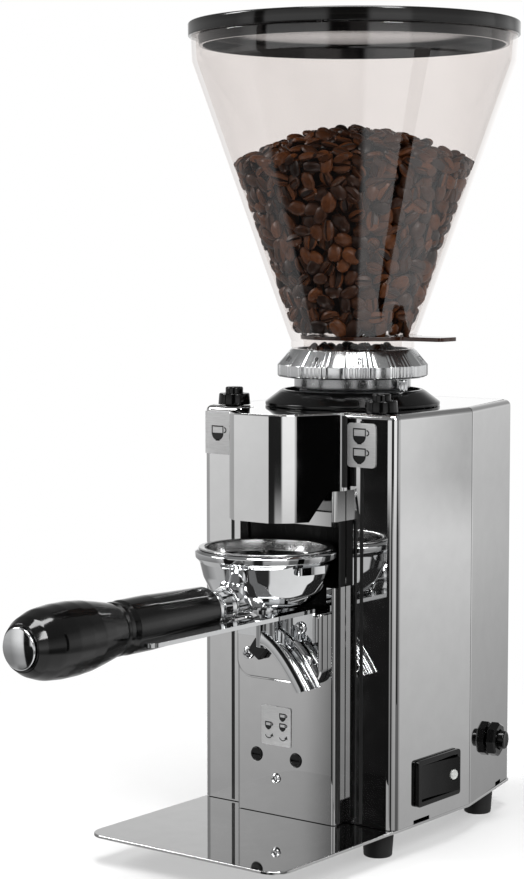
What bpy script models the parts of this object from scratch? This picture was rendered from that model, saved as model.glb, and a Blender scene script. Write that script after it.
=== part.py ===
"""Compact on-demand burr coffee grinder with its portafilter docked on the fork.

Sizes below are millimetres; MM turns them into Blender's metres when a mesh is made.
Machine frame: x = 0 is the middle plane, y = 0 the front strips (the front looks along -Y) and
z = 0 the top of the tray plate. Everything hangs on one empty that moves the machine frame so
that the object stands on z = 0 with the middle of its box at x = y = 0.
"""
from math import asin, atan2, cos, degrees, pi, radians, sin

import bpy
import bmesh
from mathutils import Matrix, Vector

MM = 0.001
GAP = 0.3                   # left between two pieces that touch
ROUND = 48                  # sides of a large turned piece
SMALL_ROUND = 24            # sides of a small one

# --- driving dimensions -------------------------------------------------------------------
SHEET = 1.2                 # casing sheet
BODY_HALF = 59.5            # half width between the side panels' outer faces
BODY_CORNER = 5.0           # bend between front strip and side
BEND_Y = 69.0               # where the sides start to taper
SEAM_Y = 68.0               # seam between side panels and rear cover
REAR_HALF = 46.0
REAR_Y = 131.0
BODY_TOP = 202.4
TOP_BEND = 3.0              # rounded top edge of the casing
PLATE = 1.5                 # tray plate
TRAY_HALF, TRAY_FRONT, TRAY_CORNER = 58.5, -91.5, 10.0
FOOT_R, FOOT_H = 7.9, 13.0
COLUMN_HALF, COLUMN_FRONT, COLUMN_SHEET = 30.3, -9.0, 1.5
HOOD_FRONT, HOOD_FLAT, HOOD_SHOULDER = -36.0, 10.5, 20.5
HOOD_SHOULDER_Y, HOOD_BOTTOM, HOOD_REAR_BOTTOM = -27.0, 150.5, 164.7
BRACKET_HALF, BRACKET_FRONT, BRACKET_LOW, BRACKET_HIGH = 26.0, -15.0, 69.0, 105.2
PRONG_IN, PRONG_OUT, PRONG_TOP, PRONG_T, PRONG_TIP = 13.5, 23.0, 107.7, 2.0, -136.0
AXIS_Y = 48.0               # hopper, dial, burrs and motor
CUP_Y, HANDLE_Z = -24.0, 112.0
NICHE_R, NICHE_LOW, NICHE_HIGH = 37.5, 105.5, 147.5     # hollow in the column for the cup's back
HANDLE_START, HANDLE_END = -72.0, -197.5
CONE_SLOPE = (81.5 - 31.7) / (375.0 - 235.0)
HOPPER_WALL = 2.5
LID_R, LID_LOW, LID_TOP = 83.5, 387.5, 394.4
GATE_Z, GATE_T, GATE_R = 236.0, 2.0, 26.5
DIAL_R, DIAL_BOTTOM, DIAL_BAND_TOP, DIAL_TOP = 38.7, 217.0, 223.4, 231.2
COLLAR_R, COLLAR_TOP_R, COLLAR_TOP = 44.5, 35.8, 210.5
BUTTONS = {"single": -47.5, "double": 43.5}
BUTTON_Y = 11.0
TRIMMERS = {"single": -17.5, "double": 6.9}
TRIMMER_Z, COLUMN_SCREW = 29.5, (-5.3, 18.8)
SWITCH_Y, SWITCH_Z, SWITCH_L, SWITCH_H = 37.0, 20.0, 38.0, 23.0
FUSE_Y, FUSE_Z = 99.0, 27.5
GLAND_Z, GLAND_OUT = 24.0, 13.0

FLOOR_Z = -PLATE - GAP - FOOT_H
FRAME_Y = -(HANDLE_END - 0.4 + REAR_Y + GLAND_OUT) / 2


# --- colours and materials ----------------------------------------------------------------
def material(name, rgb, metallic, roughness, alpha=1.0):
    mat = bpy.data.materials.new(name)
    mat.use_nodes = True
    shader = mat.node_tree.nodes["Principled BSDF"]
    shader.inputs["Base Color"].default_value = (*rgb, 1.0)
    shader.inputs["Metallic"].default_value = metallic
    shader.inputs["Roughness"].default_value = roughness
    shader.inputs["Alpha"].default_value = alpha
    mat.diffuse_color = (*rgb, alpha)
    return mat


STEEL = ((0.72, 0.73, 0.74), 1.0, 0.08)
CHROME = ((0.80, 0.81, 0.82), 1.0, 0.05)
MACHINED = ((0.55, 0.56, 0.58), 1.0, 0.35)
BLACK_PLASTIC = ((0.02, 0.02, 0.02), 0.0, 0.25)
BLACK_RUBBER = ((0.015, 0.015, 0.015), 0.0, 0.7)
LABEL = ((0.75, 0.76, 0.77), 0.3, 0.4)
CLEAR = ((0.85, 0.83, 0.80), 0.0, 0.1, 0.35)
AMBER = ((0.12, 0.06, 0.03), 0.0, 0.15)
BEAN = ((0.12, 0.05, 0.025), 0.0, 0.45)
CAST = ((0.45, 0.46, 0.48), 1.0, 0.5)
ENAMEL = ((0.10, 0.12, 0.14), 0.2, 0.5)
BOARD = ((0.03, 0.15, 0.06), 0.0, 0.5)
LAMP = ((0.65, 0.65, 0.62), 0.0, 0.3)


# --- making objects -----------------------------------------------------------------------
def machine_frame():
    """The empty that everything hangs on: the machine frame's own origin."""
    empty = bpy.data.objects.new("machine_frame", None)
    bpy.context.scene.collection.objects.link(empty)
    empty.location = (0.0, FRAME_Y * MM, -FLOOR_Z * MM)
    return empty


def joint_axis(name, at, turn=(0.0, 0.0, 0.0)):
    """An empty on a moving piece's axis, in the machine frame."""
    empty = bpy.data.objects.new(name, None)
    bpy.context.scene.collection.objects.link(empty)
    empty.parent = FRAME
    empty.location = Vector(at) * MM
    empty.rotation_euler = [radians(a) for a in turn]
    return empty


def place(name, bm, look, at=(0.0, 0.0, 0.0), turn=(0.0, 0.0, 0.0), parent=None):
    """Turns a bmesh in millimetres into a named object under the machine frame."""
    bmesh.ops.scale(bm, vec=(MM, MM, MM), verts=bm.verts)
    bmesh.ops.recalc_face_normals(bm, faces=bm.faces)
    mesh = bpy.data.meshes.new(name)
    bm.to_mesh(mesh)
    bm.free()
    mesh.shade_smooth()
    mesh.set_sharp_from_angle(angle=radians(35))
    obj = bpy.data.objects.new(name, mesh)
    bpy.context.scene.collection.objects.link(obj)
    obj.parent = parent or FRAME
    obj.location = Vector(at) * MM
    obj.rotation_euler = [radians(a) for a in turn]
    if look:
        mesh.materials.append(material(name, *look))
    return obj


def turned(profile, sides=ROUND, radius_at=None):
    """A solid of revolution round Z. profile is a closed loop of (r, z); r = 0 closes on the axis."""
    bm = bmesh.new()
    rings = []
    for r, z in profile:
        if r == 0:
            rings.append([bm.verts.new((0.0, 0.0, z))])
            continue
        ring = []
        for k in range(sides):
            a = 2 * pi * k / sides
            rr = radius_at(r, z, a) if radius_at else r
            ring.append(bm.verts.new((rr * cos(a), rr * sin(a), z)))
        rings.append(ring)
    for lower, upper in zip(rings, rings[1:] + rings[:1]):
        for k in range(sides):
            j = (k + 1) % sides
            if len(lower) == 1 and len(upper) == 1:
                break
            if len(lower) == 1:
                bm.faces.new((lower[0], upper[j], upper[k]))
            elif len(upper) == 1:
                bm.faces.new((lower[k], lower[j], upper[0]))
            else:
                bm.faces.new((lower[k], lower[j], upper[j], upper[k]))
    return bm


def disc(r, z0, z1, edge=0.0, sides=ROUND):
    """A plain turned disc or pin with an optional chamfer on both edges."""
    loop = [(0, z0), (r - edge, z0)]
    if edge:
        loop += [(r, z0 + edge), (r, z1 - edge)]
    else:
        loop += [(r, z1)]
    return turned(loop + ([(r - edge, z1)] if edge else []) + [(0, z1)], sides)


def tube(r_in, r_out, z0, z1, sides=ROUND):
    return turned([(r_in, z0), (r_out, z0), (r_out, z1), (r_in, z1)], sides)


def prism(outline, z0, z1):
    """Extrudes a plan outline [(x, y), ...] from z0 to z1."""
    bm = bmesh.new()
    low = [bm.verts.new((x, y, z0)) for x, y in outline]
    high = [bm.verts.new((x, y, z1)) for x, y in outline]
    bm.faces.new(low[::-1])
    bm.faces.new(high)
    for k in range(len(outline)):
        j = (k + 1) % len(outline)
        bm.faces.new((low[k], low[j], high[j], high[k]))
    return bm


def block(x0, x1, y0, y1, z0, z1):
    return prism([(x0, y0), (x1, y0), (x1, y1), (x0, y1)], z0, z1)


def arc(cx, cy, r, start, stop, steps):
    """Points on a circle from start to stop degrees."""
    turn = [radians(start + (stop - start) * k / steps) for k in range(steps + 1)]
    return [(cx + r * cos(a), cy + r * sin(a)) for a in turn]


def rounded_box(half_x, half_y, r, steps=4):
    """A centred rectangle with rounded corners, counter-clockwise."""
    x, y = half_x - r, half_y - r
    return (arc(x, y, r, 0, 90, steps) + arc(-x, y, r, 90, 180, steps)
            + arc(-x, -y, r, 180, 270, steps) + arc(x, -y, r, 270, 360, steps))


def inward(path, k):
    """The mitred normal to the left of a plan path at point k."""
    here = Vector(path[k])
    normals = []
    for a, b in ((k - 1, k), (k, k + 1)):
        if 0 <= a and b < len(path):
            along = (Vector(path[b]) - Vector(path[a])).normalized()
            normals.append(Vector((-along.y, along.x)))
    mitre = sum(normals, Vector((0.0, 0.0))).normalized()
    return here, mitre / max(mitre.dot(normals[0]), 0.3)


def swept(path, profile):
    """Runs a closed (depth, z) profile along a plan path; depth counts to the path's left."""
    bm = bmesh.new()
    rows = []
    for k in range(len(path)):
        here, side = inward(path, k)
        rows.append([bm.verts.new((*(here + side * d), z)) for d, z in profile])
    for a, b in zip(rows, rows[1:]):
        for k in range(len(profile)):
            j = (k + 1) % len(profile)
            bm.faces.new((a[k], a[j], b[j], b[k]))
    bm.faces.new(rows[0])
    bm.faces.new(rows[-1][::-1])
    return bm


def cut(obj, name, bm, at=(0.0, 0.0, 0.0), turn=(0.0, 0.0, 0.0), parent=None, how="DIFFERENCE"):
    """Cuts (or adds) a hidden guide solid from an object with an exact Boolean."""
    tool = place("cutter_" + name, bm, None, at, turn, parent)
    tool.hide_render = True
    tool.display_type = "WIRE"
    mod = obj.modifiers.new(name, "BOOLEAN")
    mod.operation = how
    mod.solver = "EXACT"
    mod.object = tool
    return obj


def bevel(obj, width, segments=2, angle=40):
    mod = obj.modifiers.new("edge", "BEVEL")
    mod.width = width * MM
    mod.segments = segments
    mod.limit_method = "ANGLE"
    mod.angle_limit = radians(angle)
    return obj


# --- casing -------------------------------------------------------------------------------
def casing_profile(bend, flange):
    """Section of a casing sheet with its top edge bent inward."""
    straight = BODY_TOP - bend
    rise = [k * pi / 8 for k in range(5)]
    outer = [(bend - bend * cos(a), straight + bend * sin(a)) for a in rise]
    r = bend - SHEET
    inner = [(bend - r * cos(a), straight + r * sin(a)) for a in (pi / 2, pi / 4, 0)]
    return ([(0, GAP)] + outer + [(flange, BODY_TOP), (flange, BODY_TOP - SHEET)]
            + inner + [(SHEET, GAP)])


def taper_x(y):
    """Outer face of the tapered side at y."""
    return BODY_HALF - (y - BEND_Y) * (BODY_HALF - REAR_HALF) / (REAR_Y - BEND_Y)


def side_panel(name, side):
    """Front strip, rounded corner and side in one bent sheet."""
    front = [(COLUMN_HALF + GAP, 0.0)]
    corner = arc(BODY_HALF - BODY_CORNER, BODY_CORNER, BODY_CORNER, -90, 0, 5)
    path = front + corner + [(BODY_HALF, SEAM_Y - GAP)]
    bm = swept(path, casing_profile(TOP_BEND, TOP_BEND + 0.2))
    if side < 0:
        bmesh.ops.scale(bm, vec=(-1, 1, 1), verts=bm.verts)
    panel = place(name, bm, STEEL)
    cut(panel, name + "_notch", block(-3, 3, -7, 7, -1, 2.2), (side * BODY_HALF, 24.0, 0))
    if side > 0:
        half_l, half_h = SWITCH_L / 2 - 1.6, SWITCH_H / 2 - 1.1
        opening = block(-3, 3, -half_l, half_l, -half_h, half_h)
        cut(panel, "switch_opening", opening, (BODY_HALF, SWITCH_Y, SWITCH_Z))
    return panel


def rear_cover():
    """Tapered sides and back of the casing, with louvre slots and the cable hole."""
    r = 6.0
    angle = degrees(atan2(REAR_Y - BEND_Y, REAR_HALF - BODY_HALF)) - 90
    corner = arc(REAR_HALF - r, REAR_Y - r, r, angle, 90, 4)
    right = [(BODY_HALF, SEAM_Y), (BODY_HALF, BEND_Y)] + corner
    path = right + [(-x, y) for x, y in right[::-1]]
    cover = place("rear_cover", swept(path, casing_profile(TOP_BEND, TOP_BEND + 0.2)), STEEL)
    for k in range(5):
        slot = block(-22, 22, -4, 4, -1.6, 1.6)
        cut(cover, f"louvre_{k}", slot, (0, REAR_Y, 60 + 9 * k))
    cut(cover, "gland_hole", disc(7.3, -6, 6, sides=SMALL_ROUND), (0, REAR_Y, GLAND_Z), (90, 0, 0))
    cut(cover, "fuse_hole", disc(6.3, -8, 8, sides=SMALL_ROUND), parent=FUSE_AXIS)
    for side in (-1, 1):
        notch = block(-4, 4, -4, 4, -1, 2.2)
        cut(cover, f"tail_notch_{side}", notch, (side * taper_x(112.0), 112.0, 0))
    return cover


def base_plate():
    """Tray in front and floor of the casing in one polished plate."""
    tray = [(TRAY_HALF, -1.0)] + arc(
        TRAY_HALF - TRAY_CORNER, TRAY_FRONT + TRAY_CORNER, TRAY_CORNER, 0, -90, 6)
    half = tray[::-1] + [(BODY_HALF - 0.5, BODY_CORNER), (BODY_HALF - 0.5, BEND_Y),
                         (REAR_HALF - 0.5, REAR_Y - 1)]
    outline = half + [(-x, y) for x, y in half[::-1]]
    return place("base_plate", prism(outline, -PLATE, 0.0), STEEL)


def top_cover():
    """Flat lid between the bent edges, with a tongue over the hood."""
    inset = TOP_BEND + 0.2 + GAP
    front = [(HOOD_FLAT - 1.6, HOOD_FRONT + inset), (HOOD_SHOULDER - 3.0, HOOD_SHOULDER_Y + 2.2),
             (COLUMN_HALF - 2.6, COLUMN_FRONT + 2.0), (COLUMN_HALF - 2.6, inset)]
    side = [(BODY_HALF - inset - 2, inset), (BODY_HALF - inset, inset + 2), (BODY_HALF - inset, BEND_Y)]
    rear = [(REAR_HALF - inset - 1.5, REAR_Y - inset)]
    half = front + side + rear
    outline = half + [(-x, y) for x, y in half[::-1]]
    cover = place("top_cover", prism(outline, BODY_TOP - SHEET, BODY_TOP), STEEL)
    cut(cover, "neck_hole", disc(35.0, -3, 3), (0, AXIS_Y, BODY_TOP))
    for name, x in BUTTONS.items():
        cut(cover, f"{name}_stem_hole", disc(3.0, -3, 3, sides=SMALL_ROUND), (x, BUTTON_Y, BODY_TOP))
    return cover


def cup_clearance():
    """Space that the docked cup needs: wide round the rim, narrower round the bowl."""
    step = 117.5
    bowl = [(0, NICHE_LOW), (29.5, NICHE_LOW), (29.5, step), (NICHE_R, step),
            (NICHE_R, NICHE_HIGH), (0, NICHE_HIGH)]
    return turned(bowl, 96)


def front_column():
    """Folded channel that carries the bracket, hood and timer board."""
    r = 2.0
    low = COLUMN_FRONT
    right = arc(COLUMN_HALF - r, low + r, r, -90, 0, 3) + [(COLUMN_HALF, 8.0)]
    path = [(-x, y) for x, y in right[::-1]] + right
    top = BODY_TOP - SHEET - GAP
    profile = [(0, GAP), (0, top), (COLUMN_SHEET, top), (COLUMN_SHEET, GAP)]
    column = place("front_column", swept(path, profile), STEEL)
    cut(column, "chute_window", block(-14.5, 14.5, -4, 4, 158, 192), (0, low, 0))
    cut(column, "cup_hollow", cup_clearance(), (0, CUP_Y, 0))
    for name, x in TRIMMERS.items():
        hole = disc(3.7, -3, 3, sides=SMALL_ROUND)
        cut(column, f"{name}_trimmer_hole", hole, (x, low, TRIMMER_Z), (90, 0, 0))
    x, z = COLUMN_SCREW
    cut(column, "screw_hole", disc(1.3, -3, 3, sides=12), (x, low, z), (90, 0, 0))
    return column


def cup_niche():
    """Liner behind the column's hollow: a D-shaped box open to the front."""
    half = COLUMN_HALF - COLUMN_SHEET - GAP
    front = COLUMN_FRONT + COLUMN_SHEET + GAP - CUP_Y

    def d_shape(r, face):
        swing = degrees(asin(half / (NICHE_R + 1.5)))
        return arc(0, 0, r, 90 - swing, 90 + swing, 12) + [(-half, face), (half, face)]
    at = (0, CUP_Y, 0)
    shell = prism(d_shape(NICHE_R + 1.5, front), NICHE_LOW - 2.5, NICHE_HIGH + 1.5)
    liner = place("cup_niche", shell, BLACK_PLASTIC, at)
    hollow = prism(d_shape(NICHE_R + 0.3, front - 5), NICHE_LOW - 1.3, NICHE_HIGH + 0.3)
    bmesh.ops.scale(hollow, vec=(1 - 1.2 / half, 1, 1), verts=hollow.verts)
    cut(liner, "niche_hollow", hollow, at)
    return cut(liner, "rim_clearance", cup_clearance(), at)


def outlet_hood():
    """Folded cover over the grounds outlet, open below, with slanted cheeks."""
    side = COLUMN_HALF + GAP + SHEET
    right = [(HOOD_FLAT, HOOD_FRONT), (HOOD_SHOULDER, HOOD_SHOULDER_Y),
             (side, COLUMN_FRONT - 0.5), (side, -1.5)]
    path = [(-x, y) for x, y in right[::-1]] + right
    top = BODY_TOP
    profile = [(0, HOOD_BOTTOM), (0, top - 0.8), (0.6, top), (SHEET, top), (SHEET, HOOD_BOTTOM)]
    hood = place("outlet_hood", swept(path, profile), STEEL)
    rise = [(-21.0, HOOD_BOTTOM - 2), (-21.0, HOOD_BOTTOM), (-11.5, HOOD_REAR_BOTTOM),
            (5.0, HOOD_REAR_BOTTOM), (5.0, HOOD_BOTTOM - 2)]
    wedge = prism(rise, -40, 40)
    bmesh.ops.rotate(wedge, verts=wedge.verts, cent=(0, 0, 0),
                     matrix=Matrix(((0, 0, 1), (1, 0, 0), (0, 1, 0))))
    cut(hood, "cheek_rise", wedge)
    return hood


# --- hopper group -------------------------------------------------------------------------
def cone_r(z):
    """Outer radius of the hopper's cone at height z."""
    return 31.7 + CONE_SLOPE * (z - 235.0)


def hopper():
    """Clear cone with its skirt, shelf and spigot, slotted for the gate."""
    wall = HOPPER_WALL
    loop = [(25, 214), (27.5, 214), (27.5, 231.6), (31.5, 231.6), (31.5, 235), (cone_r(375), 375),
            (82.1, 387.2), (82.1 - wall, 387.2), (81.5 - wall, 376), (cone_r(240) - wall, 240),
            (25, 239)]
    body = place("hopper", turned(loop), CLEAR, (0, AXIS_Y, 0))
    slot = [(40, GATE_R + GAP), (0, GATE_R + GAP)] + arc(0, 0, GATE_R + GAP, 90, 270, 12)[1:-1]
    slot += [(0, -GATE_R - GAP), (40, -GATE_R - GAP)]
    cut(body, "gate_slot", prism(slot, GATE_Z - GAP, GATE_Z + GATE_T + GAP), (0, AXIS_Y, 0))
    return body


def hopper_gate():
    """Sliding shut-off plate with a narrower finger tab."""
    root = 33.0
    outline = arc(0, 0, GATE_R, 90, 270, 12) + [(20, -GATE_R), (root, -14), (root + 2, -8)]
    outline += arc(58.5 - 4, -4, 4, -90, 0, 3) + arc(58.5 - 4, 4, 4, 0, 90, 3)
    outline += [(root + 2, 8), (root, 14), (20, GATE_R)]
    return place("hopper_gate", prism(outline, GATE_Z, GATE_Z + GATE_T), AMBER, (0, AXIS_Y, 0))


def hopper_lid():
    """Shallow lid: rim band, low dome and a plug ring that centres it."""
    r = LID_R
    loop = [(0, 388.6), (76, 388.6), (76, 383), (78, 383), (78.6, 387.5), (r, LID_LOW),
            (r, LID_TOP - 1.2), (r - 1.2, LID_TOP), (r - 6, LID_TOP), (r - 9, LID_TOP - 2.0),
            (0, LID_TOP - 2.0)]
    return place("hopper_lid", turned(loop), BLACK_PLASTIC, (0, AXIS_Y, 0))


def coffee_beans():
    """The heap of beans as one solid: cone below, low crown above."""
    loop = [(0, 239.4 + 1), (25, 240.4)]
    for z in (244, 280, 326):
        loop.append((cone_r(z) - HOPPER_WALL - 0.8, z))
    loop += [(45, 334), (24, 342), (0, 345)]
    return place("coffee_beans", turned(loop, 32), BEAN, (0, AXIS_Y, 0))


# --- dial and burrs -----------------------------------------------------------------------
def adjusting_collar():
    loop = [(34.4, BODY_TOP + GAP), (COLLAR_R, BODY_TOP + GAP), (COLLAR_R, BODY_TOP + 1.8),
            (COLLAR_TOP_R + 0.8, COLLAR_TOP - 0.5), (COLLAR_TOP_R, COLLAR_TOP), (34.4, COLLAR_TOP)]
    return place("adjusting_collar", turned(loop), BLACK_PLASTIC, (0, AXIS_Y, 0))


def adjusting_dial():
    """Chrome dial: plain cone above, gripping band with scallops below."""
    def scallop(r, z, a):
        on_band = r > 37 and z < DIAL_BAND_TOP + 0.5
        return r - 0.9 * max(0.0, cos(12 * a)) ** 2 if on_band else r
    loop = [(28.1, 211.4), (29.8, 211.4), (29.8, DIAL_BOTTOM), (38.1, DIAL_BOTTOM),
            (DIAL_R, DIAL_BOTTOM + 0.6), (DIAL_R, DIAL_BAND_TOP), (31.8, DIAL_TOP - 0.6),
            (31.2, DIAL_TOP), (28.1, DIAL_TOP)]
    return place("adjusting_dial", turned(loop, 72, scallop), CHROME, (0, AXIS_Y, 0))


def dial_lock_pin():
    """Small knurled pin between collar and dial that holds the dial's setting."""
    return place("dial_lock_pin", disc(2.3, 0, 5.7, 0.4, 16), CHROME, parent=LOCK_AXIS)


def upper_burr_carrier():
    loop = [(14, 189.8), (33.5, 189.8), (33.5, 207), (27, 207), (27, 210.2), (23.5, 210.2),
            (23.5, 200), (14, 196)]
    return place("upper_burr_carrier", turned(loop), MACHINED, (0, AXIS_Y, 0))


def upper_burr():
    loop = [(14, 187), (22, 183.6), (31, 183.4), (31, 189.5), (14, 189.5)]
    return place("upper_burr", turned(loop), MACHINED, (0, AXIS_Y, 0))


def lower_burr():
    loop = [(12, 176.3), (31, 176.3), (31, 182.4), (22, 182.2), (12, 179)]
    return place("lower_burr", turned(loop), MACHINED, (0, AXIS_Y, 0))


def lower_burr_carrier():
    """Rotating disc with two sweeper blades that push the grounds to the outlet."""
    loop = [(0, 168.5), (31, 168.5), (31, 176.0), (11.7, 176.0), (11.7, 180), (0, 184)]
    carrier = place("lower_burr_carrier", turned(loop), MACHINED, (0, AXIS_Y, 0))
    for k in range(2):
        blade = block(29, 33, -2, 2, 169, 175)
        cut(carrier, f"sweeper_{k}", blade, (0, AXIS_Y, 0), (0, 0, 180 * k), how="UNION")
    return carrier


def grinding_chamber():
    """Cast cup round the burrs with the outlet window in front."""
    loop = [(7.0, 160), (41.5, 160), (41.5, 200.9), (34.3, 200.9), (34.3, 166), (7.0, 166)]
    cup = place("grinding_chamber", turned(loop), CAST, (0, AXIS_Y, 0))
    cut(cup, "outlet_window", block(-11, 11, -46, -30, 167.5, 182), (0, AXIS_Y, 0))
    return cup


def outlet_chute():
    """Square tube from the chamber's window through the column into the hood."""
    outer = block(-13, 13, 0, 31, -9, 9)
    chute = place("outlet_chute", outer, BLACK_PLASTIC, (0, -25.5, 174.5))
    cut(chute, "chute_bore", block(-11, 11, 1.6, 40, -7.4, 7.4), (0, -25.5, 174.5))
    cut(chute, "chute_mouth", block(-11, 11, 1.6, 12, -12, 2), (0, -25.5, 174.5))
    return chute


# --- motor and electrics ------------------------------------------------------------------
def motor_parts():
    foot = [(30, GAP), (40, GAP), (40, 26), (43, 26), (43, 31.7), (6.4, 31.7), (6.4, 27), (30, 27)]
    place("motor_foot", turned(foot), CAST, (0, AXIS_Y, 0))
    place("motor_stator", tube(30, 42, 32, 94), ENAMEL, (0, AXIS_Y, 0))
    rotor = [(0, 20), (6, 20), (6, 40), (29, 40), (29, 88), (6, 88), (6, 168.2), (0, 168.2)]
    place("motor_rotor", turned(rotor), MACHINED, (0, AXIS_Y, 0))
    bell = [(6.4, 94.3), (43, 94.3), (43, 98.5), (32, 101.5), (32, 159.7), (28, 159.7),
            (28, 99), (6.4, 99)]
    place("upper_end_bell", turned(bell), CAST, (0, AXIS_Y, 0))


def electrics():
    place("run_capacitor", disc(16, 8, 92, 1.5, 32), LABEL, (-20, 112.5, 0))
    board = place("timer_board", block(-26, 26, -3.2, -1.6, 8, 64), BOARD)
    for name, x in TRIMMERS.items():
        cut(board, f"{name}_board_hole", disc(1.4, -3, 3, sides=12), (x, -2.4, TRIMMER_Z), (90, 0, 0))
    gland = [(3.6, -9), (7.0, -9), (7.0, GAP), (9.5, GAP), (9.5, 5.5), (7.5, 6),
             (6.2, GLAND_OUT), (3.6, GLAND_OUT)]
    at = (0, REAR_Y, GLAND_Z)
    place("cable_gland", turned(gland, SMALL_ROUND), BLACK_PLASTIC, at, (-90, 0, 0))


def trimmer(name, x):
    """Screwdriver-slotted timing trimmer, seated in the timer board."""
    axis = joint_axis(name + "_trimmer_axis", (x, COLUMN_FRONT - 0.8, TRIMMER_Z), (90, 0, 0))
    loop = [(0, -6.8), (1.1, -6.8), (1.1, -5), (3.4, -5), (3.4, -0.3), (3.1, 0), (0, 0)]
    knob = place(name + "_dose_trimmer", turned(loop, SMALL_ROUND), BLACK_PLASTIC, parent=axis)
    return cut(knob, name + "_slot", block(-2.6, 2.6, -0.4, 0.4, -0.9, 1), parent=axis)


def button(name, x):
    """Stepped push button: fixed base on the lid, cap that travels, stem through the hole."""
    at = (x, BUTTON_Y, BODY_TOP)
    base = [(4.9, GAP), (8.2, GAP), (7.8, 4.8), (4.9, 4.8)]
    place(name + "_button_base", turned(base, 32), BLACK_PLASTIC, at)
    cap = [(0, -9), (2.6, -9), (2.6, 2), (4.5, 2), (4.5, 8.6), (4.0, 9.2), (0, 9.2)]
    place(name + "_dose_button", turned(cap, SMALL_ROUND), BLACK_PLASTIC, at)


def power_switch():
    """Bezel with its body behind the panel, rocker and round indicator."""
    x_face = BODY_HALF + GAP
    flange = block(x_face, x_face + 2.0, -SWITCH_L / 2, SWITCH_L / 2, -SWITCH_H / 2, SWITCH_H / 2)
    at = (0, SWITCH_Y, SWITCH_Z)
    bezel = place("switch_bezel", flange, BLACK_PLASTIC, at)
    cut(bezel, "switch_body", block(46.3, x_face + 1, -17, 17, -10, 10), at, how="UNION")
    cut(bezel, "rocker_well", block(52, x_face + 4, -16, 16, -9, 9), at)
    outline = [(-3, -4), (0, -14.6), (2.4, -14.6), (3.6, 0), (6.2, 14.6), (0, 14.6), (-3, 4)]
    rocker = place("power_rocker", prism(outline, -8.4, 8.4), BLACK_PLASTIC, parent=ROCKER_AXIS)
    cut(rocker, "lamp_seat", disc(2.9, -1.6, 3, sides=SMALL_ROUND), parent=LAMP_SEAT)
    place("switch_lamp", disc(2.5, -1.2, 0.5, 0.4, SMALL_ROUND), LAMP, parent=LAMP_SEAT)


def fuse():
    nut = turned([(5.6, GAP), (8.9, GAP), (8.9, 3.9), (8.0, 4.8), (5.6, 4.8)], 8)
    holder = place("fuse_holder", nut, BLACK_PLASTIC, parent=FUSE_AXIS)
    shell = turned([(5.1, -20), (6.0, -20), (6.0, 2), (5.1, 2)], SMALL_ROUND)
    cut(holder, "fuse_shell", shell, parent=FUSE_AXIS, how="UNION")
    cut(holder, "fuse_bore", disc(5.1, -30, 9, sides=SMALL_ROUND), parent=FUSE_AXIS)
    cap = place("fuse_cap", disc(4.7, -12, 8.2, 0.8, SMALL_ROUND), BLACK_PLASTIC, parent=FUSE_AXIS)
    cut(cap, "cap_slot", block(-3.4, 3.4, -0.5, 0.5, 7.2, 9), parent=FUSE_AXIS)


# --- labels, screws, feet -----------------------------------------------------------------
def labels():
    skin = [(-GAP - 0.3, 0), (-GAP - 0.3, 21.5), (-GAP, 21.5), (-GAP, 0)]
    corner = arc(-(BODY_HALF - BODY_CORNER), BODY_CORNER, BODY_CORNER, 210, 270, 4)
    place("single_dose_label", swept(corner + [(-40.8, 0.0)], skin), LABEL, (0, 0, 177.8))
    place("double_dose_label", swept([(31.2, 0.0), (48.0, 0.0)], skin), LABEL, (0, 0, 176.3))
    low = [(-GAP - 0.3, 0), (-GAP - 0.3, 19.7), (-GAP, 19.7), (-GAP, 0)]
    path = [(-14.1, COLUMN_FRONT), (4.0, COLUMN_FRONT)]
    place("timer_label", swept(path, low), LABEL, (0, 0, 35.4))


def screw(name, x, y, z, head, shank, reach):
    """Domed cross-head screw pointing into the machine along +Y."""
    loop = [(0, -reach), (shank, -reach), (shank, GAP), (head, GAP), (head, 0.9),
            (head * 0.6, 1.7), (0, 1.9)]
    body = place(name, turned(loop, 16), CHROME, (x, y, z), (90, 0, 0))
    for k in range(2):
        slot = block(-head * 0.55, head * 0.55, -0.3, 0.3, 1.0, 3)
        cut(body, f"{name}_slot_{k}", slot, (x, y, z), (90, 90 * k, 0))
    return body


def screws():
    x, z = COLUMN_SCREW
    screw("column_screw", x, COLUMN_FRONT, z, 2.4, 1.0, 3.5)
    for name, side in (("left", -1), ("right", 1)):
        screw(f"bracket_screw_{name}", side * 18.0, BRACKET_FRONT, 81.6, 3.1, 1.2, 3.0)
        screw(f"fork_screw_{name}", side * 16.0, BRACKET_FRONT - GAP - PRONG_T, 98.0, 3.1, 1.2, 3.6)


def feet():
    for name, x, y in (("front_left", -46, 6), ("front_right", 46, 6),
                       ("rear_left", -40, 107), ("rear_right", 40, 107)):
        loop = [(0, 0), (FOOT_R - 1.5, 0), (FOOT_R - 0.5, 1.2), (FOOT_R, FOOT_H), (0, FOOT_H)]
        place("foot_" + name, turned(loop, 32), BLACK_RUBBER, (x, y, FLOOR_Z))


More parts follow.
